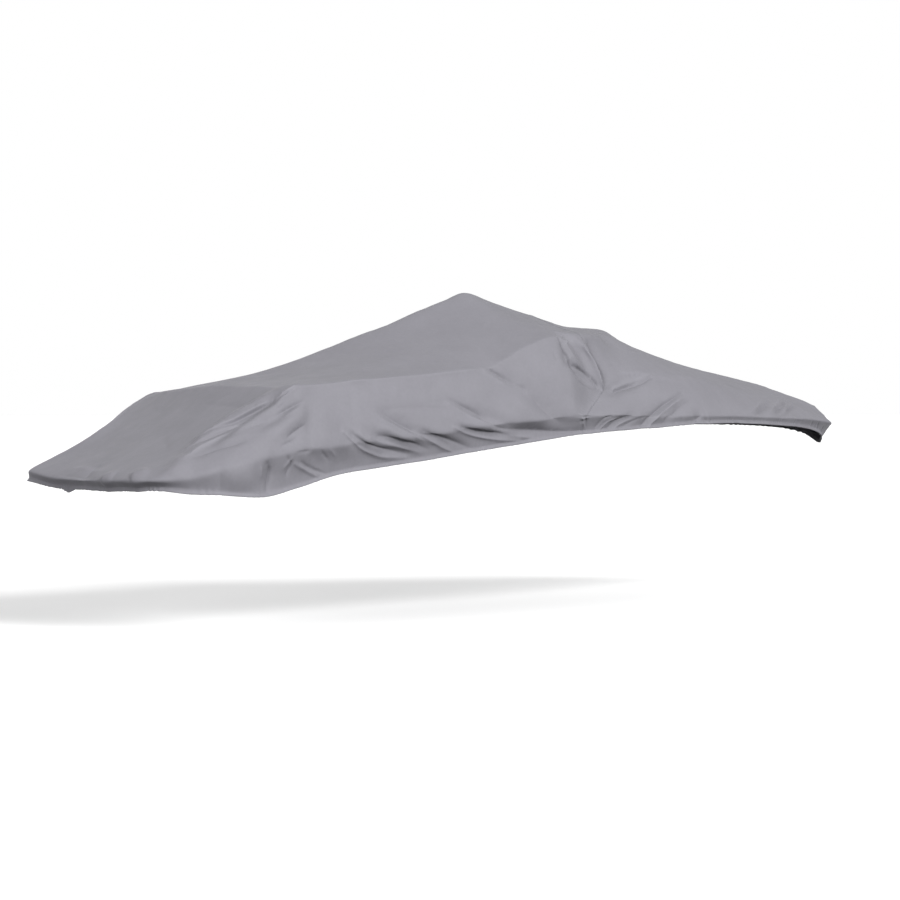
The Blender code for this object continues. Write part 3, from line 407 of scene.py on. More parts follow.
    ((34, 34), 4.8, (0.2, 0.2), ((-228, 516, -310), (-107, 470, -258))),
    ((38, 38), -4.8, (0.2, 0.2), ((312, 359, -213), (400, 420, -246), (285, 710, -313))),
    ((34, 34), -4.8, (0.2, 0.2), ((291, 577, -277), (564, 508, -294))),
    ((31, 31), -4.8, (0.2, 0.2), ((739, 545, -325), (1139, 378, -339))),
    ((59, 59), 4.8, (0.2, 0.2), ((-2170, 60, -725), (-1910, 360, -688))),
)) + tuple(
    Crease(PORT, PORT_WIDTHS, math.copysign(rise, -turn * fold.rise), PORT_ENDS,
           tuple((x + BESIDE_SLANT * beside, out, z + beside) for x, out, z in fold.path))
    for fold in FOLDS if fold.side == PORT
    for turn, rise, beside in PORT_CREASES)

# ---------------------------------------------------------------- the mesh
SEAM = 14                     # the section that the seam follows
HEM_STEPS = (0.0, 0.003, 0.006, 0.010, 0.014, 0.018, 0.023, 0.028, 0.033)
HEM_ROWS = len(HEM_STEPS) - 1
SKIRT_CELLS = 24
RAIL_ROW = HEM_ROWS + SKIRT_CELLS
RAIL_SOFTENINGS = 70
RAIL_ROUNDING = ((3, 5.5, 12, 17), (1.0, 0.4, 0.4, 0.7))   # sections, and the share there
RAIL_REACH, RAIL_EASING = 30, 10   # rows above the rail that are rounded; the last fade out
BASE_SOFTENINGS, BASE_SOFTENING = 3, {"along": 0.25, "up": 0.5}
NORMAL_SOFTENINGS = 5
SIDE_CELLS = 72
BROW_CELLS = 28
TOP_CELLS = 28
# The section at which each width of column ends, and that width.
COLUMN_WIDTHS = ((3, 0.008), (18, 0.0065), (math.inf, 0.009))
BLOCK = 4                     # cells along one side of the largest face
LAP_STITCHES = (1, 3)         # columns from the lap's start to its two rows of stitches
HEM_STITCH_ROW = 6
LAP = 4                       # columns by which the aft panel lies over the bow one
OUTER_FLATNESS = 0.0008
INNER_FLATNESS = 0.0032
PORT_LOOSENESS = 1.6          # how much less flat the port side's faces may be
INNER_CLEARANCE = 6           # cells over which the inner face clears a crease
LAP_WALL = 0.8                # share of the lap's rise that its cloth takes up
THREAD_PART = 3               # a stitch's middle lies a third of its thickness up
# Each panel's flat size and area.
AFT_FLAT, AFT_AREA = (4.53, 4.8), 15.0
BOW_FLAT, BOW_AREA = (4.08, 4.08), 8.5

# ---------------------------------------------------------------- the finish
# Painted highlight on the crests of creases and painted shade in their hollows: how high a crease
# must be for the full amount, and how much lighter or darker it paints.
SHADED_CREASE_HEIGHT = 0.010           # a crease this high gets the full painted highlight on its crest and painted shade in its hollow
CREASE_SHADE_TONE = 0.05
DYE_CLOUDS = ((0.30, 0.035), (0.025, 0.02))   # size, and the change of tone
ROUGHNESS = (0.66, 0.78)
HANDLED_SIZE = 0.12
WEAVE_DEPTH = 0.00006
CRUMPLE_DEPTH = 0.0012
CRUMPLE_SIZE = 0.05
# How uneven the coating's tone and the thread's painted shade are: size, least and greatest tone.
COATING_CLOUDS = (0.09, 0.92, 1.05)
THREAD_SHADE_CLOUDS = (0.012, 0.85, 1.12)
NOISE_RANGE = {"From Min": 0.3, "From Max": 0.7}   # where most of a noise's values lie

# ---------------------------------------------------------------- the stage
FLOOR_HEIGHT = -2.666
FLOOR_HALF = 900.0
FLOOR_COLOUR, FLOOR_ROUGHNESS = "FFFFFF", 0.9
GROUND_GLOW = 0.05
SKY_GLOW = 0.42
HORIZON = (-0.25, 0.35)       # from where to where the ground's glow turns to the sky's
# The camera: its turn from +Y and its tilt in degrees, lens and sensor in mm.
CAMERA_PLACE = (-13.563, -17.111, -1.000)
CAMERA_PAN, CAMERA_TILT = 38.09, -0.82
CAMERA_LENS, SENSOR_WIDTH, FARTHEST = 105.32, 36.0, 2000.0
# Each lamp: the way its light goes, its strength and its spread in degrees.
LIGHTS = (("key", (-0.05, 0.89, -0.43), 3.75, 18.0),
          ("side_light", (0.84, 0.42, -0.34), 1.8, 24.0),
          ("far_light", (-0.25, -0.93, -0.22), 2.3, 40.0))


def linear(colour):
    """Linear RGB of an sRGB hex colour."""
    parts = [int(colour[i:i + 2], 16) / 255 for i in (0, 2, 4)]
    return tuple(c / 12.92 if c <= 0.04045 else ((c + 0.055) / 1.055) ** 2.4 for c in parts)


# ---------------------------------------------------------------- settings
def length_setting(name, description, default):
    """A setting that holds a length in metres."""
    return bpy.props.FloatProperty(name=name, description=description, default=default,
                                   unit="LENGTH")


def colour_setting(name, description, default):
    """A setting that holds a colour, given as sRGB hex."""
    return bpy.props.FloatVectorProperty(name=name, description=description, subtype="COLOR",
                                         size=3, default=linear(default))


class CoverSettings(bpy.types.PropertyGroup):
    """Sizes and colours that a user may change."""
    cloth_thickness: length_setting(
        "Cloth thickness", "Thickness of the coated cloth with its seams", 0.0025)
    hem_thickness: length_setting(
        "Hem thickness", "Thickness of the cloth turned over its draw cord", 0.006)
    lap_rise: length_setting(
        "Lap rise", "How far the lap of the seam stands above the cloth below it", 0.0022)
    gather_depth: length_setting(
        "Gather depth", "Depth of the small gathers that the draw cord pulls in", 0.0024)
    pucker_depth: length_setting(
        "Pucker depth", "Depth of the small puckers along the seam", 0.0055)
    weave_pitch: length_setting(
        "Weave pitch", "Width of one over-and-under of the drawn weave", 0.005)
    stitch_pitch: length_setting("Stitch pitch", "Distance from one stitch to the next", 0.009)
    stitch_length: length_setting(
        "Stitch length", "Length of thread that shows in one stitch", 0.0072)
    thread_thickness: length_setting("Thread thickness", "Thickness of the sewing thread", 0.0012)
    cloth_colour: colour_setting("Cloth colour", "Colour of the coated cloth", "77767C")
    coating_colour: colour_setting("Coating colour", "Colour of the coated inner face", "6E6D72")
    thread_colour: colour_setting("Thread colour", "Colour of the sewing thread", "67666C")


def settings():
    """The settings of the scene's cover."""
    return bpy.context.scene.boat_cover


def add_object(name, data):
    """A new object in the scene that holds this data."""
    made = bpy.data.objects.new(name, data)
    bpy.context.scene.collection.objects.link(made)
    return made


def aimed(towards):
    """The turn that points a lamp or the camera that way."""
    return Vector(towards).to_track_quat("-Z", "Y").to_euler()


# ---------------------------------------------------------------- the surface
def unit(vectors):
    """The same directions, one metre long."""
    return vectors / np.maximum(np.linalg.norm(vectors, axis=-1, keepdims=True), 1e-9)


def eased_curve(values, at):
    """Smooth curve through one value for each whole number, without overshoot."""
    values = np.asarray(values, float)
    step = np.diff(values, axis=0)
    before, after = step[:-1], step[1:]
    same_way = before * after > 0
    total = np.where(same_way, before + after, 1.0)
    slope = np.zeros_like(values)
    slope[1:-1] = np.where(same_way, 2.0 * before * after / total, 0.0)
    slope[0], slope[-1] = step[0], step[-1]
    index = np.clip(np.floor(at).astype(int), 0, len(values) - 2)
    t = (at - index)[:, None]
    rise = values[index + 1] - values[index]
    cubic = 3 * t**2 - 2 * t**3
    return (values[index] + cubic * rise + (t - 2 * t**2 + t**3) * slope[index]
            + (t**3 - t**2) * slope[index + 1])


def line_points(side, line):
    """The points of one line on one side, one for each section."""
    points = []
    for section in SECTIONS:
        given = getattr(section, line)
        point = np.array((given[0], 0.0, given[1]) if line == "spine" else given)
        if side == PORT:
            if line in ("shoulder", "crown"):
                point[2] -= PORT_SLUMP * point[1]
            for name, changed, change in PORT_CHANGES:
                if (name, changed) == (section.name, line):
                    point = point + change
        point[1] *= side
        points.append(point)
    return np.array(points)


def column_places():
    """Section numbers of the mesh columns."""
    rail, shoulder = (line_points(STARBOARD, line) for line in ("rail", "shoulder"))
    places = []
    for number in range(len(SECTIONS) - 1):
        reach = max(np.linalg.norm(line[number + 1] - line[number]) for line in (rail, shoulder))
        spacing = next(width for end, width in COLUMN_WIDTHS if number < end)
        count = BLOCK * max(1, round(reach / spacing / BLOCK))
        places.extend(number + np.arange(count) / count)
    return np.array(places + [len(SECTIONS) - 1.0])


def side_surface(side, places):
    """Points of one side's cloth, as columns by rows, from hem to spine."""
    lines = {line: eased_curve(line_points(side, line), places)
             for line in ("hem", "rail", "shoulder", "crown", "spine")}
    belly = eased_curve([[section.belly] for section in SECTIONS], places)
    skirt_height = np.linalg.norm(lines["rail"] - lines["hem"], axis=1)
    hem_top = HEM_STEPS[-1] / skirt_height
    skirt = [step / skirt_height for step in HEM_STEPS[:-1]]
    skirt += [hem_top + (1 - hem_top) * cell / SKIRT_CELLS for cell in range(SKIRT_CELLS)]
    even = {cells: [cell / cells for cell in range(cells)]
            for cells in (SIDE_CELLS, BROW_CELLS)}
    spans = (("hem", "rail", skirt, SKIRT_BELLY), ("rail", "shoulder", even[SIDE_CELLS], belly),
             ("shoulder", "crown", even[BROW_CELLS], 0.0),
             ("crown", "spine", [cell / TOP_CELLS for cell in range(TOP_CELLS + 1)], TOP_SAG))
    # Slack has no room where the two sides close on each other.
    to_bow = np.clip(len(SECTIONS) - 1 - places, 0.0, 1.0)[:, None]
    from_stern = np.clip(places, 0.0, 1.0)[:, None]
    rows = []
    for low, high, shares, slack in spans:
        run = lines[high] - lines[low]
        along = np.gradient(lines[high] + lines[low], axis=0)
        outward = unit(np.cross(along, run)) * -side
        taut = np.clip(np.linalg.norm(run, axis=1, keepdims=True) / SLACK_REACH, 0.0, 1.0)
        taut = taut * to_bow * (from_stern if high == "spine" else 1.0)
        for share in shares:
            part = np.broadcast_to(share, len(places))[:, None]
            rows.append(lines[low] + part * run + slack * taut * np.sin(np.pi * part) * outward)
    return np.stack(rows, axis=1)


class Ring:
    """The whole cover's cloth as one ring of columns: starboard from the stern
    to the bow, then port back to the stern.  Its last row is the spine, which
    both sides share."""

    def __init__(self, places):
        star, port = (side_surface(side, places) for side in (STARBOARD, PORT))
        self.points = np.concatenate([star, port[-2:0:-1]])
        self.columns, self.count = len(places), len(self.points)
        self.mirror = -np.arange(self.count) % self.count
        self.rows = self.points.shape[1]

    def padded(self, values):
        """Values with one more row below the hem and one beyond the spine."""
        below = 2 * values[:, :1] - values[:, 1:2]
        beyond = values[self.mirror, -2][:, None]
        return np.concatenate([below, values, beyond], axis=1)

    def soften(self, values, times, along=0.5, up=0.5):
        """Average each value with its neighbours."""
        for _ in range(times):
            around = (np.roll(values, 1, 0) + np.roll(values, -1, 0)) / 2
            values = values + along * (around - values)
            wide = self.padded(values)
            values = values + up * ((wide[:, :-2] + wide[:, 2:]) / 2 - values)
        return values

    def rail_rounding(self, places):
        """How far the turn over the rail is rounded off, at every point."""
        share = np.interp(places, *RAIL_ROUNDING)
        rows = np.clip((RAIL_ROW + RAIL_REACH - np.arange(self.rows)) / RAIL_EASING, 0.0, 1.0)
        return (np.concatenate([share, share[-2:0:-1]])[:, None] * rows)[..., None]

    def normals(self, points):
        """Outward direction at every point."""
        along = np.roll(points, -1, 0) - np.roll(points, 1, 0)
        wide = self.padded(points)
        found = unit(np.cross(along, wide[:, 2:] - wide[:, :-2]))
        spine = unit(found[:, -1] + found[self.mirror, -1])
        found[:, -1] = spine
        return found

    def heights(self, points):
        """Distance up the cloth from the hem, at every point."""
        steps = np.linalg.norm(np.diff(points, axis=1), axis=-1)
        return np.concatenate([np.zeros((self.count, 1)), np.cumsum(steps, axis=1)], axis=1)

    def travel(self, points, row):
        """Distance round the cover along one row, from the middle of the stern."""
        line = points[:, row]
        steps = np.linalg.norm(np.roll(line, -1, 0) - line, axis=1)
        return np.concatenate([[0.0], np.cumsum(steps)[:-1]])


def near(points, path, reach):
    """Numbers of the points that lie within reach of a path's box."""
    low, high = path.min(0) - reach, path.max(0) + reach
    return np.where(((points > low) & (points < high)).all(axis=1))[0]


def along_path(points, normals, path, width):
    """Each point's distance from a path, and how far along it that is."""
    lengths = np.linalg.norm(np.diff(path, axis=0), axis=1)
    nearest = np.full(len(points), np.inf)
    travelled = np.zeros(len(points))
    for number, (start, end) in enumerate(zip(path[:-1], path[1:])):
        offset = points - start
        share = np.clip(offset @ (end - start) / lengths[number] ** 2, 0.0, 1.0)
        gap = offset - share[:, None] * (end - start)
        through = np.abs((gap * normals).sum(axis=1))
        across = np.linalg.norm(gap, axis=1) + FAR_CLOTH * np.maximum(through - width, 0.0)
        closer = across < nearest
        nearest = np.where(closer, across, nearest)
        travelled = np.where(closer, lengths[:number].sum() + share * lengths[number], travelled)
    return nearest, travelled, lengths.sum()


def fold_height(points, normals, fold):
    """How far one broad fold lifts each point along its normal."""
    path = np.array(fold.path) * (1.0, fold.side, 1.0)
    height = np.zeros(len(points))
    found = near(points, path, FOLD_REACH * fold.width)
    distance, travelled, total = along_path(points[found], normals[found], path, fold.width)
    to_tip = np.minimum(travelled, total - travelled)
    fade = np.sin(0.5 * np.pi * np.clip(to_tip / (FOLD_FADE * total), 0.0, 1.0))
    strength = FOLD_END + (1.0 - FOLD_END) * fade
    height[found] = fold.rise * strength * np.exp(-(FOLD_NARROWNESS * distance / fold.width) ** 2)
    return height


def smooth_path(path):
    """The path with three more points between each two, on a smooth curve."""
    if len(path) < 3:
        return path
    return eased_curve(path, np.arange(0, len(path) - 1 + PATH_STEP / 2, PATH_STEP))


def crease_height(points, normals, crease):
    """How far one narrow crease lifts each point along its normal."""
    path = smooth_path(np.array(crease.path) * (1.0, crease.side, 1.0))
    wide = max(crease.widths)
    height = np.zeros(len(points))
    around = near(points, path, CREASE_SEARCH)
    for number, place in enumerate(path):
        closest = around[np.argmin(np.linalg.norm(points[around] - place, axis=1))]
        away = (place - points[closest]) @ normals[closest]
        path[number] = place - away * normals[closest]
    found = near(points, path, CREASE_REACH * wide)
    distance, travelled, total = along_path(points[found], normals[found], path, wide)
    share = travelled / total
    width = crease.widths[0] + (crease.widths[1] - crease.widths[0]) * share
    strength = crease.ends[0] + (1 - crease.ends[0]) * np.clip(share / CREASE_END, 0, 1)
    strength *= crease.ends[1] + (1 - crease.ends[1]) * np.clip((1 - share) / CREASE_END, 0, 1)
    across = FOLD_NARROWNESS * distance / width
    height[found] = crease.rise * strength * np.exp(-across ** CREASE_SHARPNESS)
    return height


def ripple(places, wavelength, seed):
    """Soft unevenness with about that wavelength: a sum of slanted waves."""
    random = np.random.default_rng(seed)
    total = np.zeros(places.shape[:-1])
    for _ in range(WAVE_COUNT):
        direction = unit(random.normal(size=places.shape[-1]))
        spacing = wavelength * random.uniform(*WAVE_SPREAD)
        total += np.sin(places @ direction * 2 * np.pi / spacing + random.uniform(0, 2 * np.pi))
    return total / math.sqrt(WAVE_COUNT / 2)


def gathers(distance, wavelength, seed):
    """Small irregular pleats along a line, between about -1 and 1."""
    place = distance[:, None]
    shift = PLEAT_SHIFT * ripple(place, PLEAT_SHIFT_REACH * wavelength, seed)
    size = PLEAT_SIZE + PLEAT_SIZE_CHANGE * ripple(place, PLEAT_SIZE_REACH * wavelength, seed + 1)
    return (np.clip(size, 0.0, PLEAT_LARGEST)
            * np.sin(2 * np.pi * (distance / wavelength + shift)))


# ---------------------------------------------------------------- the cloth
class Cloth:
    """The draped cloth: its outer face, and a plainer inner one."""

    def __init__(self):
        given = settings()
        places = column_places()
        self.seam = int(np.argmin(np.abs(places - SEAM)))
        ring = self.ring = Ring(places)
        base = ring.soften(ring.points, BASE_SOFTENINGS, **BASE_SOFTENING)
        base += ring.rail_rounding(places) * (ring.soften(base, RAIL_SOFTENINGS, along=0.0) - base)
        base[:, 0] = ring.points[:, 0]
        soft_normals = ring.soften(ring.normals(base), NORMAL_SOFTENINGS)
        shape = (ring.count, ring.rows)
        points, normals = base.reshape(-1, 3), unit(soft_normals).reshape(-1, 3)
        lift = sum(fold_height(points, normals, fold) for fold in FOLDS)
        points = (points + lift[:, None] * normals).reshape(*shape, 3)
        self.drop_hem(points)
        self.broad = points
        self.normals = ring.normals(points)
        self.height = ring.heights(points)
        self.cut = {STARBOARD: self.cut_side(STARBOARD), PORT: self.cut_side(PORT)}
        flat, flat_normals = points.reshape(-1, 3), self.normals.reshape(-1, 3)
        creased = sum(crease_height(flat, flat_normals, crease) for crease in CREASES)
        creased = creased.reshape(shape)
        # Painted highlight on crests and painted shade in hollows, from -1 to 1, by each crease's
        # height.
        self.worn = np.clip(creased / SHADED_CREASE_HEIGHT, -1.0, 1.0)
        wave = sum(height * ripple(points, wavelength, seed)
                   for height, wavelength, seed in WAVES)
        fade = np.exp(-self.height / GATHER_FADE)
        to_bow = np.clip((points[..., 0] - BOW_GATHERS_START) / BOW_GATHERS_RUN, 0.0, 1.0)
        fade *= 1.0 + BOW_GATHERS * to_bow
        pleats = gathers(ring.travel(points, 0), GATHER_LENGTH, GATHER_SEED)
        drawn_in = pleats[:, None] * fade
        self.fine = (creased + wave + given.gather_depth * drawn_in + self.hem_relief()
                     + self.seam_puckers(given.pucker_depth))
        self.outer = points + self.fine[..., None] * self.normals

    def drop_hem(self, points):
        """Let the hem hang lower where HEM_DROPS says so."""
        for side, place, width, drop in HEM_DROPS:
            centre = np.array(place) * (1.0, side, 1.0)
            reach = np.linalg.norm((points[:, 0] - centre)[:, :2], axis=1) / width
            for row in range(HEM_ROWS):
                share = 1 - DROP_EASING * row / HEM_ROWS
                points[:, row, 2] -= drop * np.clip(1 - reach, 0, 1) * share

    def side_columns(self, side):
        """Ring columns of one side, from the stern to the bow tip."""
        return side * -np.arange(self.ring.columns) % self.ring.count

    def cut_side(self, side):
        """Where each point of one side lies on the flat cloth, in metres: forward
        of the seam, and up from the starboard hem."""
        columns = self.side_columns(side)
        points, height = self.broad[columns], self.height[columns]
        steps = np.linalg.norm(np.diff(points, axis=0), axis=-1)
        travel = np.concatenate([np.zeros((1, self.ring.rows)), np.cumsum(steps, axis=0)])
        if side == PORT:
            spine = self.height[self.side_columns(STARBOARD)][:, -1:]
            height = spine + height[:, -1:] - height
        return np.stack([travel - travel[self.seam], height], axis=-1)

    def hem_relief(self):
        """The turned-over hem: a doubled band with its draw cord at the edge."""
        height, top = self.height, HEM_STEPS[-2]
        doubled = DOUBLED_RISE * np.clip((top - height) / DOUBLED_EASING + 0.5, 0.0, 1.0)
        cord = CORD_RISE * np.exp(-((height - CORD_HEIGHT) / CORD_WIDTH) ** 2)
        groove = -GROOVE_DEPTH * np.exp(-((height - top + GROOVE_DROP) / GROOVE_WIDTH) ** 2)
        turned_in = -TURN_DEPTH * np.exp(-(height / TURN_WIDTH) ** 2)
        flared = (FLARE * np.clip(1 - height / top, 0.0, 1.0)
                  + SKIRT_FLARE * np.exp(-height / SKIRT_FLARE_HEIGHT))
        return doubled + cord + groove + turned_in + flared

    def seam_puckers(self, depth):
        """Short puckers across the seam, where its thread draws the cloth in."""
        result = np.zeros(self.height.shape)
        for side in (STARBOARD, PORT):
            columns = self.side_columns(side)
            away = self.cut[side][..., 0]
            height = self.height[columns[self.seam]]
            pattern = gathers(height, PUCKER_LENGTH, PUCKER_SEED + side)
            pattern = pattern * np.clip(PUCKER_TOP - height, PUCKER_LEAST, 1.0)
            result[columns] = pattern[None] * np.exp(-np.abs(away) / PUCKER_FADE) * depth
        return result


def lowest_nearby(values, reach):
    """The lowest value within reach columns and rows of each."""
    for _ in range(reach):
        wide = np.pad(values, 1, mode="edge")
        values = np.minimum.reduce([wide[1:-1, :-2], wide[1:-1, 1:-1], wide[1:-1, 2:],
                                    wide[:-2, 1:-1], wide[2:, 1:-1]])
    return values


def joined_cells(points, flatness):
    """The cells of a sheet, joined into blocks wherever it is flat enough, given
    a flatness for each column of cells: the (column, row, size) of each block,
    and a mark on every point that one uses."""
    columns, rows = points.shape[0] - 1, points.shape[1] - 1
    taken = np.zeros((columns, rows), bool)
    used = np.zeros((columns + 1, rows + 1), bool)
    found = []
    for size in (BLOCK, BLOCK // 2, 1):
        corner = points[::size, ::size]
        worst = np.zeros((columns // size, rows // size))
        for across in range(size + 1):
            for up in range(size + 1):
                s, t = across / size, up / size
                flat = ((1 - t) * ((1 - s) * corner[:-1, :-1] + s * corner[1:, :-1])
                        + t * ((1 - s) * corner[:-1, 1:] + s * corner[1:, 1:]))
                real = points[across:columns + 1 - size + across:size,
                              up:rows + 1 - size + up:size]
                worst = np.maximum(worst, np.linalg.norm(real - flat, axis=-1))
        fits = (worst < flatness[::size, None]) & ~taken[::size, ::size] if size > 1 else ~taken
        taken |= np.repeat(np.repeat(fits, size, 0), size, 1)
        places = np.argwhere(fits) * size
        for corner_step in ((0, 0), (size, 0), (size, size), (0, size)):
            at = places + corner_step
            used[at[:, 0], at[:, 1]] = True
        found.extend((int(column), int(row), size) for column, row in places)
    # Both halves of the spine's row are the same points.
    used[:, -1] |= used[::-1, -1]
    return found, used


def edge_walk(start, step, count):
    """The places that count steps from a start pass through, the start first."""
    return [(start[0] + step[0] * n, start[1] + step[1] * n) for n in range(count)]


def build_panel(name, cloth, columns, thickness, hem_thickness, lap=0):
    """A closed thin sheet over the given ring columns, its middle one at the
    stern or at the bow tip.  The last lap columns at both ends lie over the
    other panel."""
    ring = cloth.ring
    ids = np.array(columns) % ring.count
    rows = ring.rows
    lift, wall = np.zeros(len(ids)), np.full(len(ids), thickness)
    if lap:
        lift[:lap + 1] = lift[-lap - 1:] = settings().lap_rise
        lift[[0, -1]] /= 2
        wall[:lap + 1] = wall[-lap - 1:] = LAP_WALL * lift[:lap + 1]
    normals = cloth.normals[ids]
    outer = cloth.outer[ids] + lift[:, None, None] * normals
    # The inner face keeps clear of every crease that sinks in nearby.
    low = lowest_nearby(cloth.fine, INNER_CLEARANCE)[ids]
    low[:, :HEM_ROWS] = cloth.fine[ids, :HEM_ROWS]
    low[wall < thickness] = cloth.fine[ids][wall < thickness]
    solid = np.repeat(wall[:, None], rows, axis=1)
    solid[:, :HEM_ROWS] = hem_thickness
    inner = cloth.broad[ids] + (lift[:, None] + low - solid)[..., None] * normals

    vertices, faces, places = [], [], []
    skins = []
    looseness = np.where(ids[:-1] < ring.columns, 1.0, PORT_LOOSENESS)
    for skin, flatness in ((outer, OUTER_FLATNESS), (inner, INNER_FLATNESS)):
        blocks, used = joined_cells(skin, flatness * looseness)
        owned = used.copy()
        middle = len(ids) // 2
        owned[middle + 1:, -1] = False
        number = np.full(used.shape, -1)
        number[owned] = len(vertices) + np.arange(owned.sum())
        number[middle + 1:, -1] = number[:middle, -1][::-1]
        vertices.extend(skin[owned].tolist())
        skins.append((blocks, used, number))

    def add(corners):
        """One face, from (skin, column, row) corners."""
        faces.append([int(skins[skin][2][column, row]) for skin, column, row in corners])
        places.extend((column, row) for _, column, row in corners)

    for skin, (blocks, used, _) in enumerate(skins):
        for column, row, size in blocks:
            walk = (edge_walk((column, row), (1, 0), size)
                    + edge_walk((column + size, row), (0, 1), size)
                    + edge_walk((column + size, row + size), (-1, 0), size)
                    + edge_walk((column, row + size), (0, -1), size))
            corners = [(skin, *place) for place in walk if used[place]]
            add(corners if skin == 0 else corners[::-1])
    last = len(ids) - 1
    hem = [((start + BLOCK, 0), (-1, 0)) for start in range(0, last, BLOCK)]
    ends = [((0, start), (0, 1)) for start in range(0, rows - 1, BLOCK)]
    ends += [((last, start + BLOCK), (0, -1)) for start in range(0, rows - 1, BLOCK)]
    for start, step in hem + ends:
        walk = edge_walk(start, step, BLOCK + 1)
        add([(0, *place) for place in walk if skins[0][1][place]]
            + [(1, *place) for place in walk[::-1] if skins[1][1][place]])

    data = bpy.data.meshes.new(name)
    data.from_pydata(vertices, [], faces)
    data.shade_smooth()
    inside = np.zeros(len(faces), np.int32)
    inside[len(skins[0][0]):len(skins[0][0]) + len(skins[1][0])] = 1
    data.polygons.foreach_set("material_index", inside)
    piece = add_object(name, data)
    store_cut(data, cloth, ids, faces, places)
    store_painted_creases(data, cloth, ids, skins)
    return piece


def store_cut(data, cloth, ids, faces, places):
    """Give the panel its flat layout, in metres, as a UV map."""
    columns, rows = np.array(places).T
    ring = cloth.ring
    sizes = [len(face) for face in faces]
    first = np.concatenate([[0], np.cumsum(sizes)[:-1]])
    # A face belongs to the side on which its middle lies.
    across = np.add.reduceat(columns, first) / sizes
    middle = len(ids) // 2
    starts_aft = ids[middle] == 0
    port = np.repeat((across < middle) == starts_aft, sizes)
    from_stern = np.where(ids[columns] < ring.columns, ids[columns], ring.count - ids[columns])
    found = np.where(port[:, None], cloth.cut[PORT][from_stern, rows],
                     cloth.cut[STARBOARD][from_stern, rows])
    layer = data.uv_layers.new(name="cut")
    layer.uv.foreach_set("vector", found.astype(np.float32).ravel())


def store_painted_creases(data, cloth, ids, skins):
    """Mark the creases for their painted highlight and shade: 1 on a crest, -1 in a hollow, none on
    the inner face.
    """
    values = np.zeros(len(data.vertices), np.float32)
    number = skins[0][2]
    values[number[number >= 0]] = cloth.worn[ids][number >= 0]
    data.attributes.new("worn", "FLOAT", "POINT").data.foreach_set("value", values)


# ---------------------------------------------------------------- materials
def node(tree, kind, inputs=(), **settings_):
    """Add a node with these settings; a tree socket among its inputs is linked."""
    made = tree.nodes.new(kind)
    for name, value in settings_.items():
        setattr(made, name, value)
    for socket, value in dict(inputs).items():
        if isinstance(value, bpy.types.NodeSocket):
            tree.links.new(value, made.inputs[socket])
        else:
            made.inputs[socket].default_value = value
    return made


def new_material(name, values):
    """A new material, its node tree, its shader with these values, and the place
    on its piece."""
    material = bpy.data.materials.new(name)
    material.use_nodes = True
    tree = material.node_tree
    shader = tree.nodes["Principled BSDF"]
    for socket, value in values.items():
        shader.inputs[socket].default_value = value
    return material, tree, shader, node(tree, "ShaderNodeTexCoord").outputs["Object"]


def clouded(tree, place, size, least, greatest, detail=2.0):
    """A value that drifts between two others over about that size."""
    cloud = node(tree, "ShaderNodeTexNoise", {"Vector": place, "Scale": 1 / size,
                                              "Detail": detail}).outputs["Fac"]
    return node(tree, "ShaderNodeMapRange", {"Value": cloud, **NOISE_RANGE, "To Min": least,
                                             "To Max": greatest}).outputs["Result"]


def tinted(tree, shader, colour, tone):
    """Set a shader's colour to one that is the same all over, times a tone."""
    made = node(tree, "ShaderNodeVectorMath", {0: colour, "Scale": tone}, operation="SCALE")
    tree.links.new(made.outputs["Vector"], shader.inputs["Base Color"])


def cloth_material():
    """Plain-woven 600-denier polyester, dyed in the yarn: matt, with a slight nap."""
    given = settings()
    # Loose fibre ends catch light along the edges of the folds.
    material, tree, shader, place = new_material(
        "woven_polyester",
        {"Specular IOR Level": 0.22, "Sheen Weight": 0.04, "Sheen Roughness": 0.5})
    # Painted highlight on the crest of a crease and painted shade in its hollow.
    worn = node(tree, "ShaderNodeAttribute", attribute_name="worn").outputs["Fac"]
    tone = node(tree, "ShaderNodeMath", {0: worn, 1: CREASE_SHADE_TONE, 2: 1.0},
                operation="MULTIPLY_ADD").outputs[0]
    # The dye takes unevenly over a hand's breadth and over a few threads.
    for size, amount in DYE_CLOUDS:
        uneven = clouded(tree, place, size, 1 - amount, 1 + amount, detail=3.0)
        tone = node(tree, "ShaderNodeMath", {0: tone, 1: uneven}, operation="MULTIPLY").outputs[0]
    tinted(tree, shader, given.cloth_colour, tone)
    # Where the cloth has been folded and handled, its face is a little smoother.
    tree.links.new(clouded(tree, place, HANDLED_SIZE, *ROUGHNESS), shader.inputs["Roughness"])
    # The weave goes over and under both ways.  Its 0.5 mm yarns are too fine to
    # show, so they are drawn five times as coarse.
    cut = node(tree, "ShaderNodeUVMap", uv_map="cut").outputs["UV"]
    yarns = node(tree, "ShaderNodeVectorMath", {0: cut, "Scale": 2 * math.pi / given.weave_pitch},
                 operation="SCALE").outputs["Vector"]
    over = node(tree, "ShaderNodeVectorMath", {0: yarns}, operation="SINE").outputs["Vector"]
    over = node(tree, "ShaderNodeSeparateXYZ", {0: over}).outputs
    weave = node(tree, "ShaderNodeMath", {0: over[0], 1: over[1]}, operation="MULTIPLY").outputs[0]
    woven = node(tree, "ShaderNodeBump", {"Height": weave, "Distance": WEAVE_DEPTH}
                 ).outputs["Normal"]
    # Soft crumples that are left from when the cover was packed.
    crumples = node(tree, "ShaderNodeTexNoise", {"Vector": place, "Scale": 1 / CRUMPLE_SIZE}
                    ).outputs["Fac"]
    crumpled = node(tree, "ShaderNodeBump", {"Height": crumples, "Distance": CRUMPLE_DEPTH,
                                             "Normal": woven}).outputs["Normal"]
    tree.links.new(crumpled, shader.inputs["Normal"])
    return material


def coating_material():
    """Polyurethane coating, spread on the cloth's inner face: dull, smooth and
    a little darker, with its thickness clouding the tone."""
    material, tree, shader, place = new_material("polyurethane_coating", {"Roughness": 0.5})
    tone = clouded(tree, place, *COATING_CLOUDS)
    tinted(tree, shader, settings().coating_colour, tone)
    return material


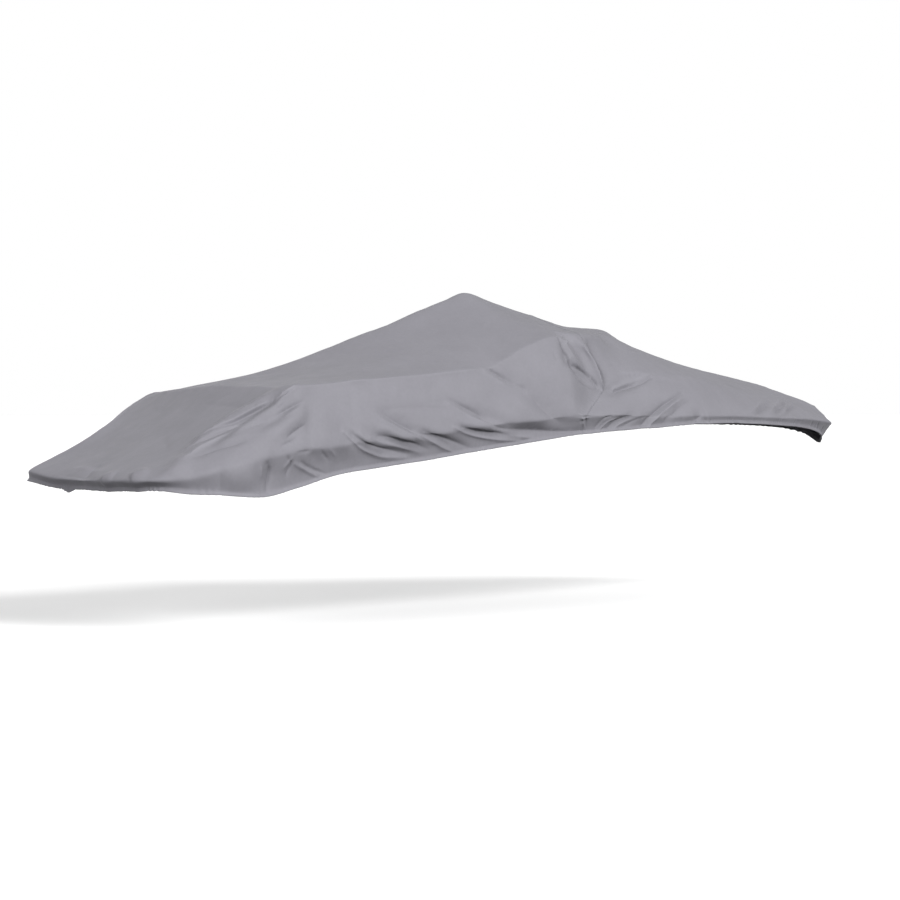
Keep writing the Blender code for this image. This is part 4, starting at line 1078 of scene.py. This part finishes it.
def thread_material():
    """Bonded polyester sewing thread: smooth, and a little darker than the cloth."""
    material, tree, shader, place = new_material("bonded_thread", {"Roughness": 0.42})
    # Painted shade and highlight: the thread's tone drifts from stitch to stitch, standing in for
    # stitches that lie a little deeper or higher than the next.
    tone = clouded(tree, place, *THREAD_SHADE_CLOUDS)
    tinted(tree, shader, settings().thread_colour, tone)
    return material


# ---------------------------------------------------------------- the sewing
def stitching_tree():
    """Geometry Nodes: a thread's stitch at every pitch along the input's lines,
    turned to lie along the line and on the cloth."""
    tree = bpy.data.node_groups.new("stitching", "GeometryNodeTree")
    tree.interface.new_socket("Geometry", in_out="INPUT", socket_type="NodeSocketGeometry")
    for name in ("Pitch", "Length", "Thickness"):
        tree.interface.new_socket(name, in_out="INPUT", socket_type="NodeSocketFloat")
    tree.interface.new_socket("Thread", in_out="INPUT", socket_type="NodeSocketMaterial")
    tree.interface.new_socket("Geometry", in_out="OUTPUT", socket_type="NodeSocketGeometry")
    given = node(tree, "NodeGroupInput").outputs
    lines = node(tree, "GeometryNodeMeshToCurve", {"Mesh": given["Geometry"]}).outputs["Curve"]
    spaced = node(tree, "GeometryNodeResampleCurve", {"Curve": lines, "Length": given["Pitch"]},
                  mode="LENGTH").outputs["Curve"]
    ball = node(tree, "GeometryNodeMeshUVSphere", {"Segments": 6, "Rings": 4,
                                                   "Radius": 0.5}).outputs["Mesh"]
    size = node(tree, "ShaderNodeCombineXYZ", {0: given["Length"], 1: given["Thickness"],
                                               2: given["Thickness"]}).outputs[0]
    stitch = node(tree, "GeometryNodeTransform", {"Geometry": ball, "Scale": size}
                  ).outputs["Geometry"]
    tangent = node(tree, "GeometryNodeInputTangent").outputs["Tangent"]
    outward = node(tree, "GeometryNodeInputNamedAttribute", {"Name": "outward"},
                   data_type="FLOAT_VECTOR").outputs["Attribute"]
    along = node(tree, "FunctionNodeAlignRotationToVector", {"Vector": tangent},
                 axis="X").outputs["Rotation"]
    turned = node(tree, "FunctionNodeAlignRotationToVector",
                  {"Rotation": along, "Vector": outward}, axis="Z",
                  pivot_axis="X").outputs["Rotation"]
    placed = node(tree, "GeometryNodeInstanceOnPoints",
                  {"Points": spaced, "Instance": stitch, "Rotation": turned}
                  ).outputs["Instances"]
    real = node(tree, "GeometryNodeRealizeInstances", {"Geometry": placed}).outputs["Geometry"]
    sewn = node(tree, "GeometryNodeSetMaterial", {"Geometry": real, "Material": given["Thread"]}
                ).outputs["Geometry"]
    node(tree, "NodeGroupOutput", {"Geometry": sewn})
    return tree


def sew(name, lines, tree, thread):
    """One mesh of stitches along lines of (points, outward directions)."""
    points = np.concatenate([line for line, _ in lines])
    outward = np.concatenate([directions for _, directions in lines])
    edges, start = [], 0
    for line, _ in lines:
        edges.extend((number, number + 1) for number in range(start, start + len(line) - 1))
        start += len(line)
    data = bpy.data.meshes.new(name)
    data.from_pydata(points.tolist(), edges, [])
    data.attributes.new("outward", "FLOAT_VECTOR", "POINT").data.foreach_set(
        "vector", outward.astype(np.float32).ravel())
    guide = add_object(name + "_guide", data)
    modifier = guide.modifiers.new("stitching", "NODES")
    modifier.node_group = tree
    given = settings()
    values = {"Pitch": given.stitch_pitch, "Length": given.stitch_length,
              "Thickness": given.thread_thickness, "Thread": thread}
    for socket in tree.interface.items_tree:
        if socket.name in values:
            modifier[socket.identifier] = values[socket.name]
    graph = bpy.context.evaluated_depsgraph_get()
    made = bpy.data.meshes.new_from_object(guide.evaluated_get(graph))
    made.name = name
    bpy.data.objects.remove(guide)
    made.shade_smooth()
    return add_object(name, made)


# ---------------------------------------------------------------- operators
class BOATCOVER_OT_cloth(bpy.types.Operator):
    """Build the aft and bow panels of draped cloth and their stitching"""
    bl_idname = "boat_cover.cloth"
    bl_label = "Build the cloth and its stitching"

    def execute(self, context):
        given = settings()
        cloth = Cloth()
        ring, seam = cloth.ring, cloth.seam
        material, coating = cloth_material(), coating_material()
        thread, tree = thread_material(), stitching_tree()
        aft = build_panel("aft_panel_cloth", cloth, range(-seam - LAP, seam + LAP + 1),
                          given.cloth_thickness, given.hem_thickness, lap=LAP)
        bow = build_panel("bow_panel_cloth", cloth, range(seam, ring.count - seam + 1),
                          given.cloth_thickness, given.hem_thickness)
        above = given.thread_thickness / THREAD_PART

        def sewn_line(columns, rows, lift):
            """Points just above the cloth, and the directions out from it."""
            normals = cloth.normals[columns, rows]
            return cloth.outer[columns, rows] + (lift + above) * normals, normals

        lap_lines = []
        up = np.arange(HEM_ROWS, ring.rows)
        for column in LAP_STITCHES:
            starboard, port = (sewn_line(np.full(len(up), side), up, given.lap_rise)
                               for side in (seam + column, ring.count - seam - column))
            lap_lines.append([np.concatenate([one, other[-2::-1]])
                              for one, other in zip(starboard, port)])
        hem = [sewn_line(np.arange(*ends) % ring.count, HEM_STITCH_ROW, 0.0)
               for ends in ((-seam, seam + 1), (seam + LAP + 1, ring.count - seam - LAP))]
        aft_sewing = sew("aft_panel_stitching", lap_lines + [hem[0]], tree, thread)
        bow_sewing = sew("bow_panel_stitching", [hem[1]], tree, thread)
        for piece, sewing, node_name, flat, area in (
                (aft, aft_sewing, "aft_panel", AFT_FLAT, AFT_AREA),
                (bow, bow_sewing, "bow_panel", BOW_FLAT, BOW_AREA)):
            piece.data.materials.append(material)
            piece.data.materials.append(coating)
            for made in (piece, sewing):
                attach(made, BODY)
            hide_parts(node_name)
        return {"FINISHED"}


class BOATCOVER_OT_stage(bpy.types.Operator):
    """Set up the floor, the lights and the camera"""
    bl_idname = "boat_cover.stage"
    bl_label = "Set up the stage"

    def execute(self, context):
        scene = context.scene
        mesh = bmesh.new()
        bmesh.ops.create_grid(mesh, x_segments=1, y_segments=1, size=FLOOR_HALF)
        data = bpy.data.meshes.new("floor")
        mesh.to_mesh(data)
        mesh.free()
        data.transform(Matrix.Translation((0, 0, FLOOR_HEIGHT)))
        floor = add_object("floor", data)
        paint = bpy.data.materials.new("pale_floor")
        paint.use_nodes = True
        shader = paint.node_tree.nodes["Principled BSDF"]
        shader.inputs["Base Color"].default_value = (*linear(FLOOR_COLOUR), 1.0)
        shader.inputs["Roughness"].default_value = FLOOR_ROUGHNESS
        data.materials.append(paint)
        floor.visible_diffuse = False
        camera = bpy.data.cameras.new("camera")
        camera.lens, camera.sensor_width = CAMERA_LENS, SENSOR_WIDTH
        camera.clip_end = FARTHEST
        seen = add_object("camera", camera)
        seen.location = CAMERA_PLACE
        pan, tilt = math.radians(CAMERA_PAN), math.radians(CAMERA_TILT)
        seen.rotation_euler = aimed((math.sin(pan) * math.cos(tilt),
                                     math.cos(pan) * math.cos(tilt), math.sin(tilt)))
        scene.camera = seen
        for name, towards, strength, spread in LIGHTS:
            lamp = bpy.data.lights.new(name, "SUN")
            lamp.energy, lamp.angle = strength, math.radians(spread)
            holder = add_object(name, lamp)
            holder.rotation_euler = aimed(towards)
            # The far lamp only fills: cloth seen at a slant would glare in it.
            holder.visible_glossy = name != "far_light"
        world = bpy.data.worlds.new("studio")
        scene.world = world
        world.use_nodes = True
        tree = world.node_tree
        back = tree.nodes["Background"]
        seen_directly = node(tree, "ShaderNodeLightPath").outputs["Is Camera Ray"]
        towards = node(tree, "ShaderNodeTexCoord").outputs["Generated"]
        up = node(tree, "ShaderNodeSeparateXYZ", {0: towards}).outputs["Z"]
        rising = node(tree, "ShaderNodeMapRange",
                      {"Value": up, "From Min": HORIZON[0], "From Max": HORIZON[1],
                       "To Min": GROUND_GLOW, "To Max": SKY_GLOW}).outputs["Result"]
        glow = node(tree, "ShaderNodeMix", {"Factor": seen_directly, "A": rising, "B": 1.0})
        back.inputs["Color"].default_value = (1.0, 1.0, 1.0, 1.0)
        tree.links.new(glow.outputs[0], back.inputs["Strength"])
        scene.view_settings.view_transform = "Standard"
        return {"FINISHED"}


class BOATCOVER_PT_panel(bpy.types.Panel):
    """Sizes, colours and the steps that build the cover"""
    bl_label = "Boat cover"
    bl_idname = "BOATCOVER_PT_panel"
    bl_space_type = "VIEW_3D"
    bl_region_type = "UI"
    bl_category = "Boat cover"

    def draw(self, context):
        """Show every setting and a button for each step."""
        for name in CoverSettings.__annotations__:
            self.layout.prop(context.scene.boat_cover, name)
        for operator in OPERATORS:
            self.layout.operator(operator.bl_idname)


OPERATORS = (BOATCOVER_OT_cloth, BOATCOVER_OT_stage)
CLASSES = (CoverSettings, *OPERATORS, BOATCOVER_PT_panel)


def register():
    """Make the settings, the operators and the panel known."""
    for item in CLASSES:
        bpy.utils.register_class(item)
    bpy.types.Scene.boat_cover = bpy.props.PointerProperty(type=CoverSettings)


def unregister():
    """Take them away again."""
    del bpy.types.Scene.boat_cover
    for item in reversed(CLASSES):
        bpy.utils.unregister_class(item)


def main():
    """Build the cover and its stage."""
    register()
    bpy.ops.boat_cover.cloth()
    bpy.ops.boat_cover.stage()


if __name__ == "__main__":
    main()
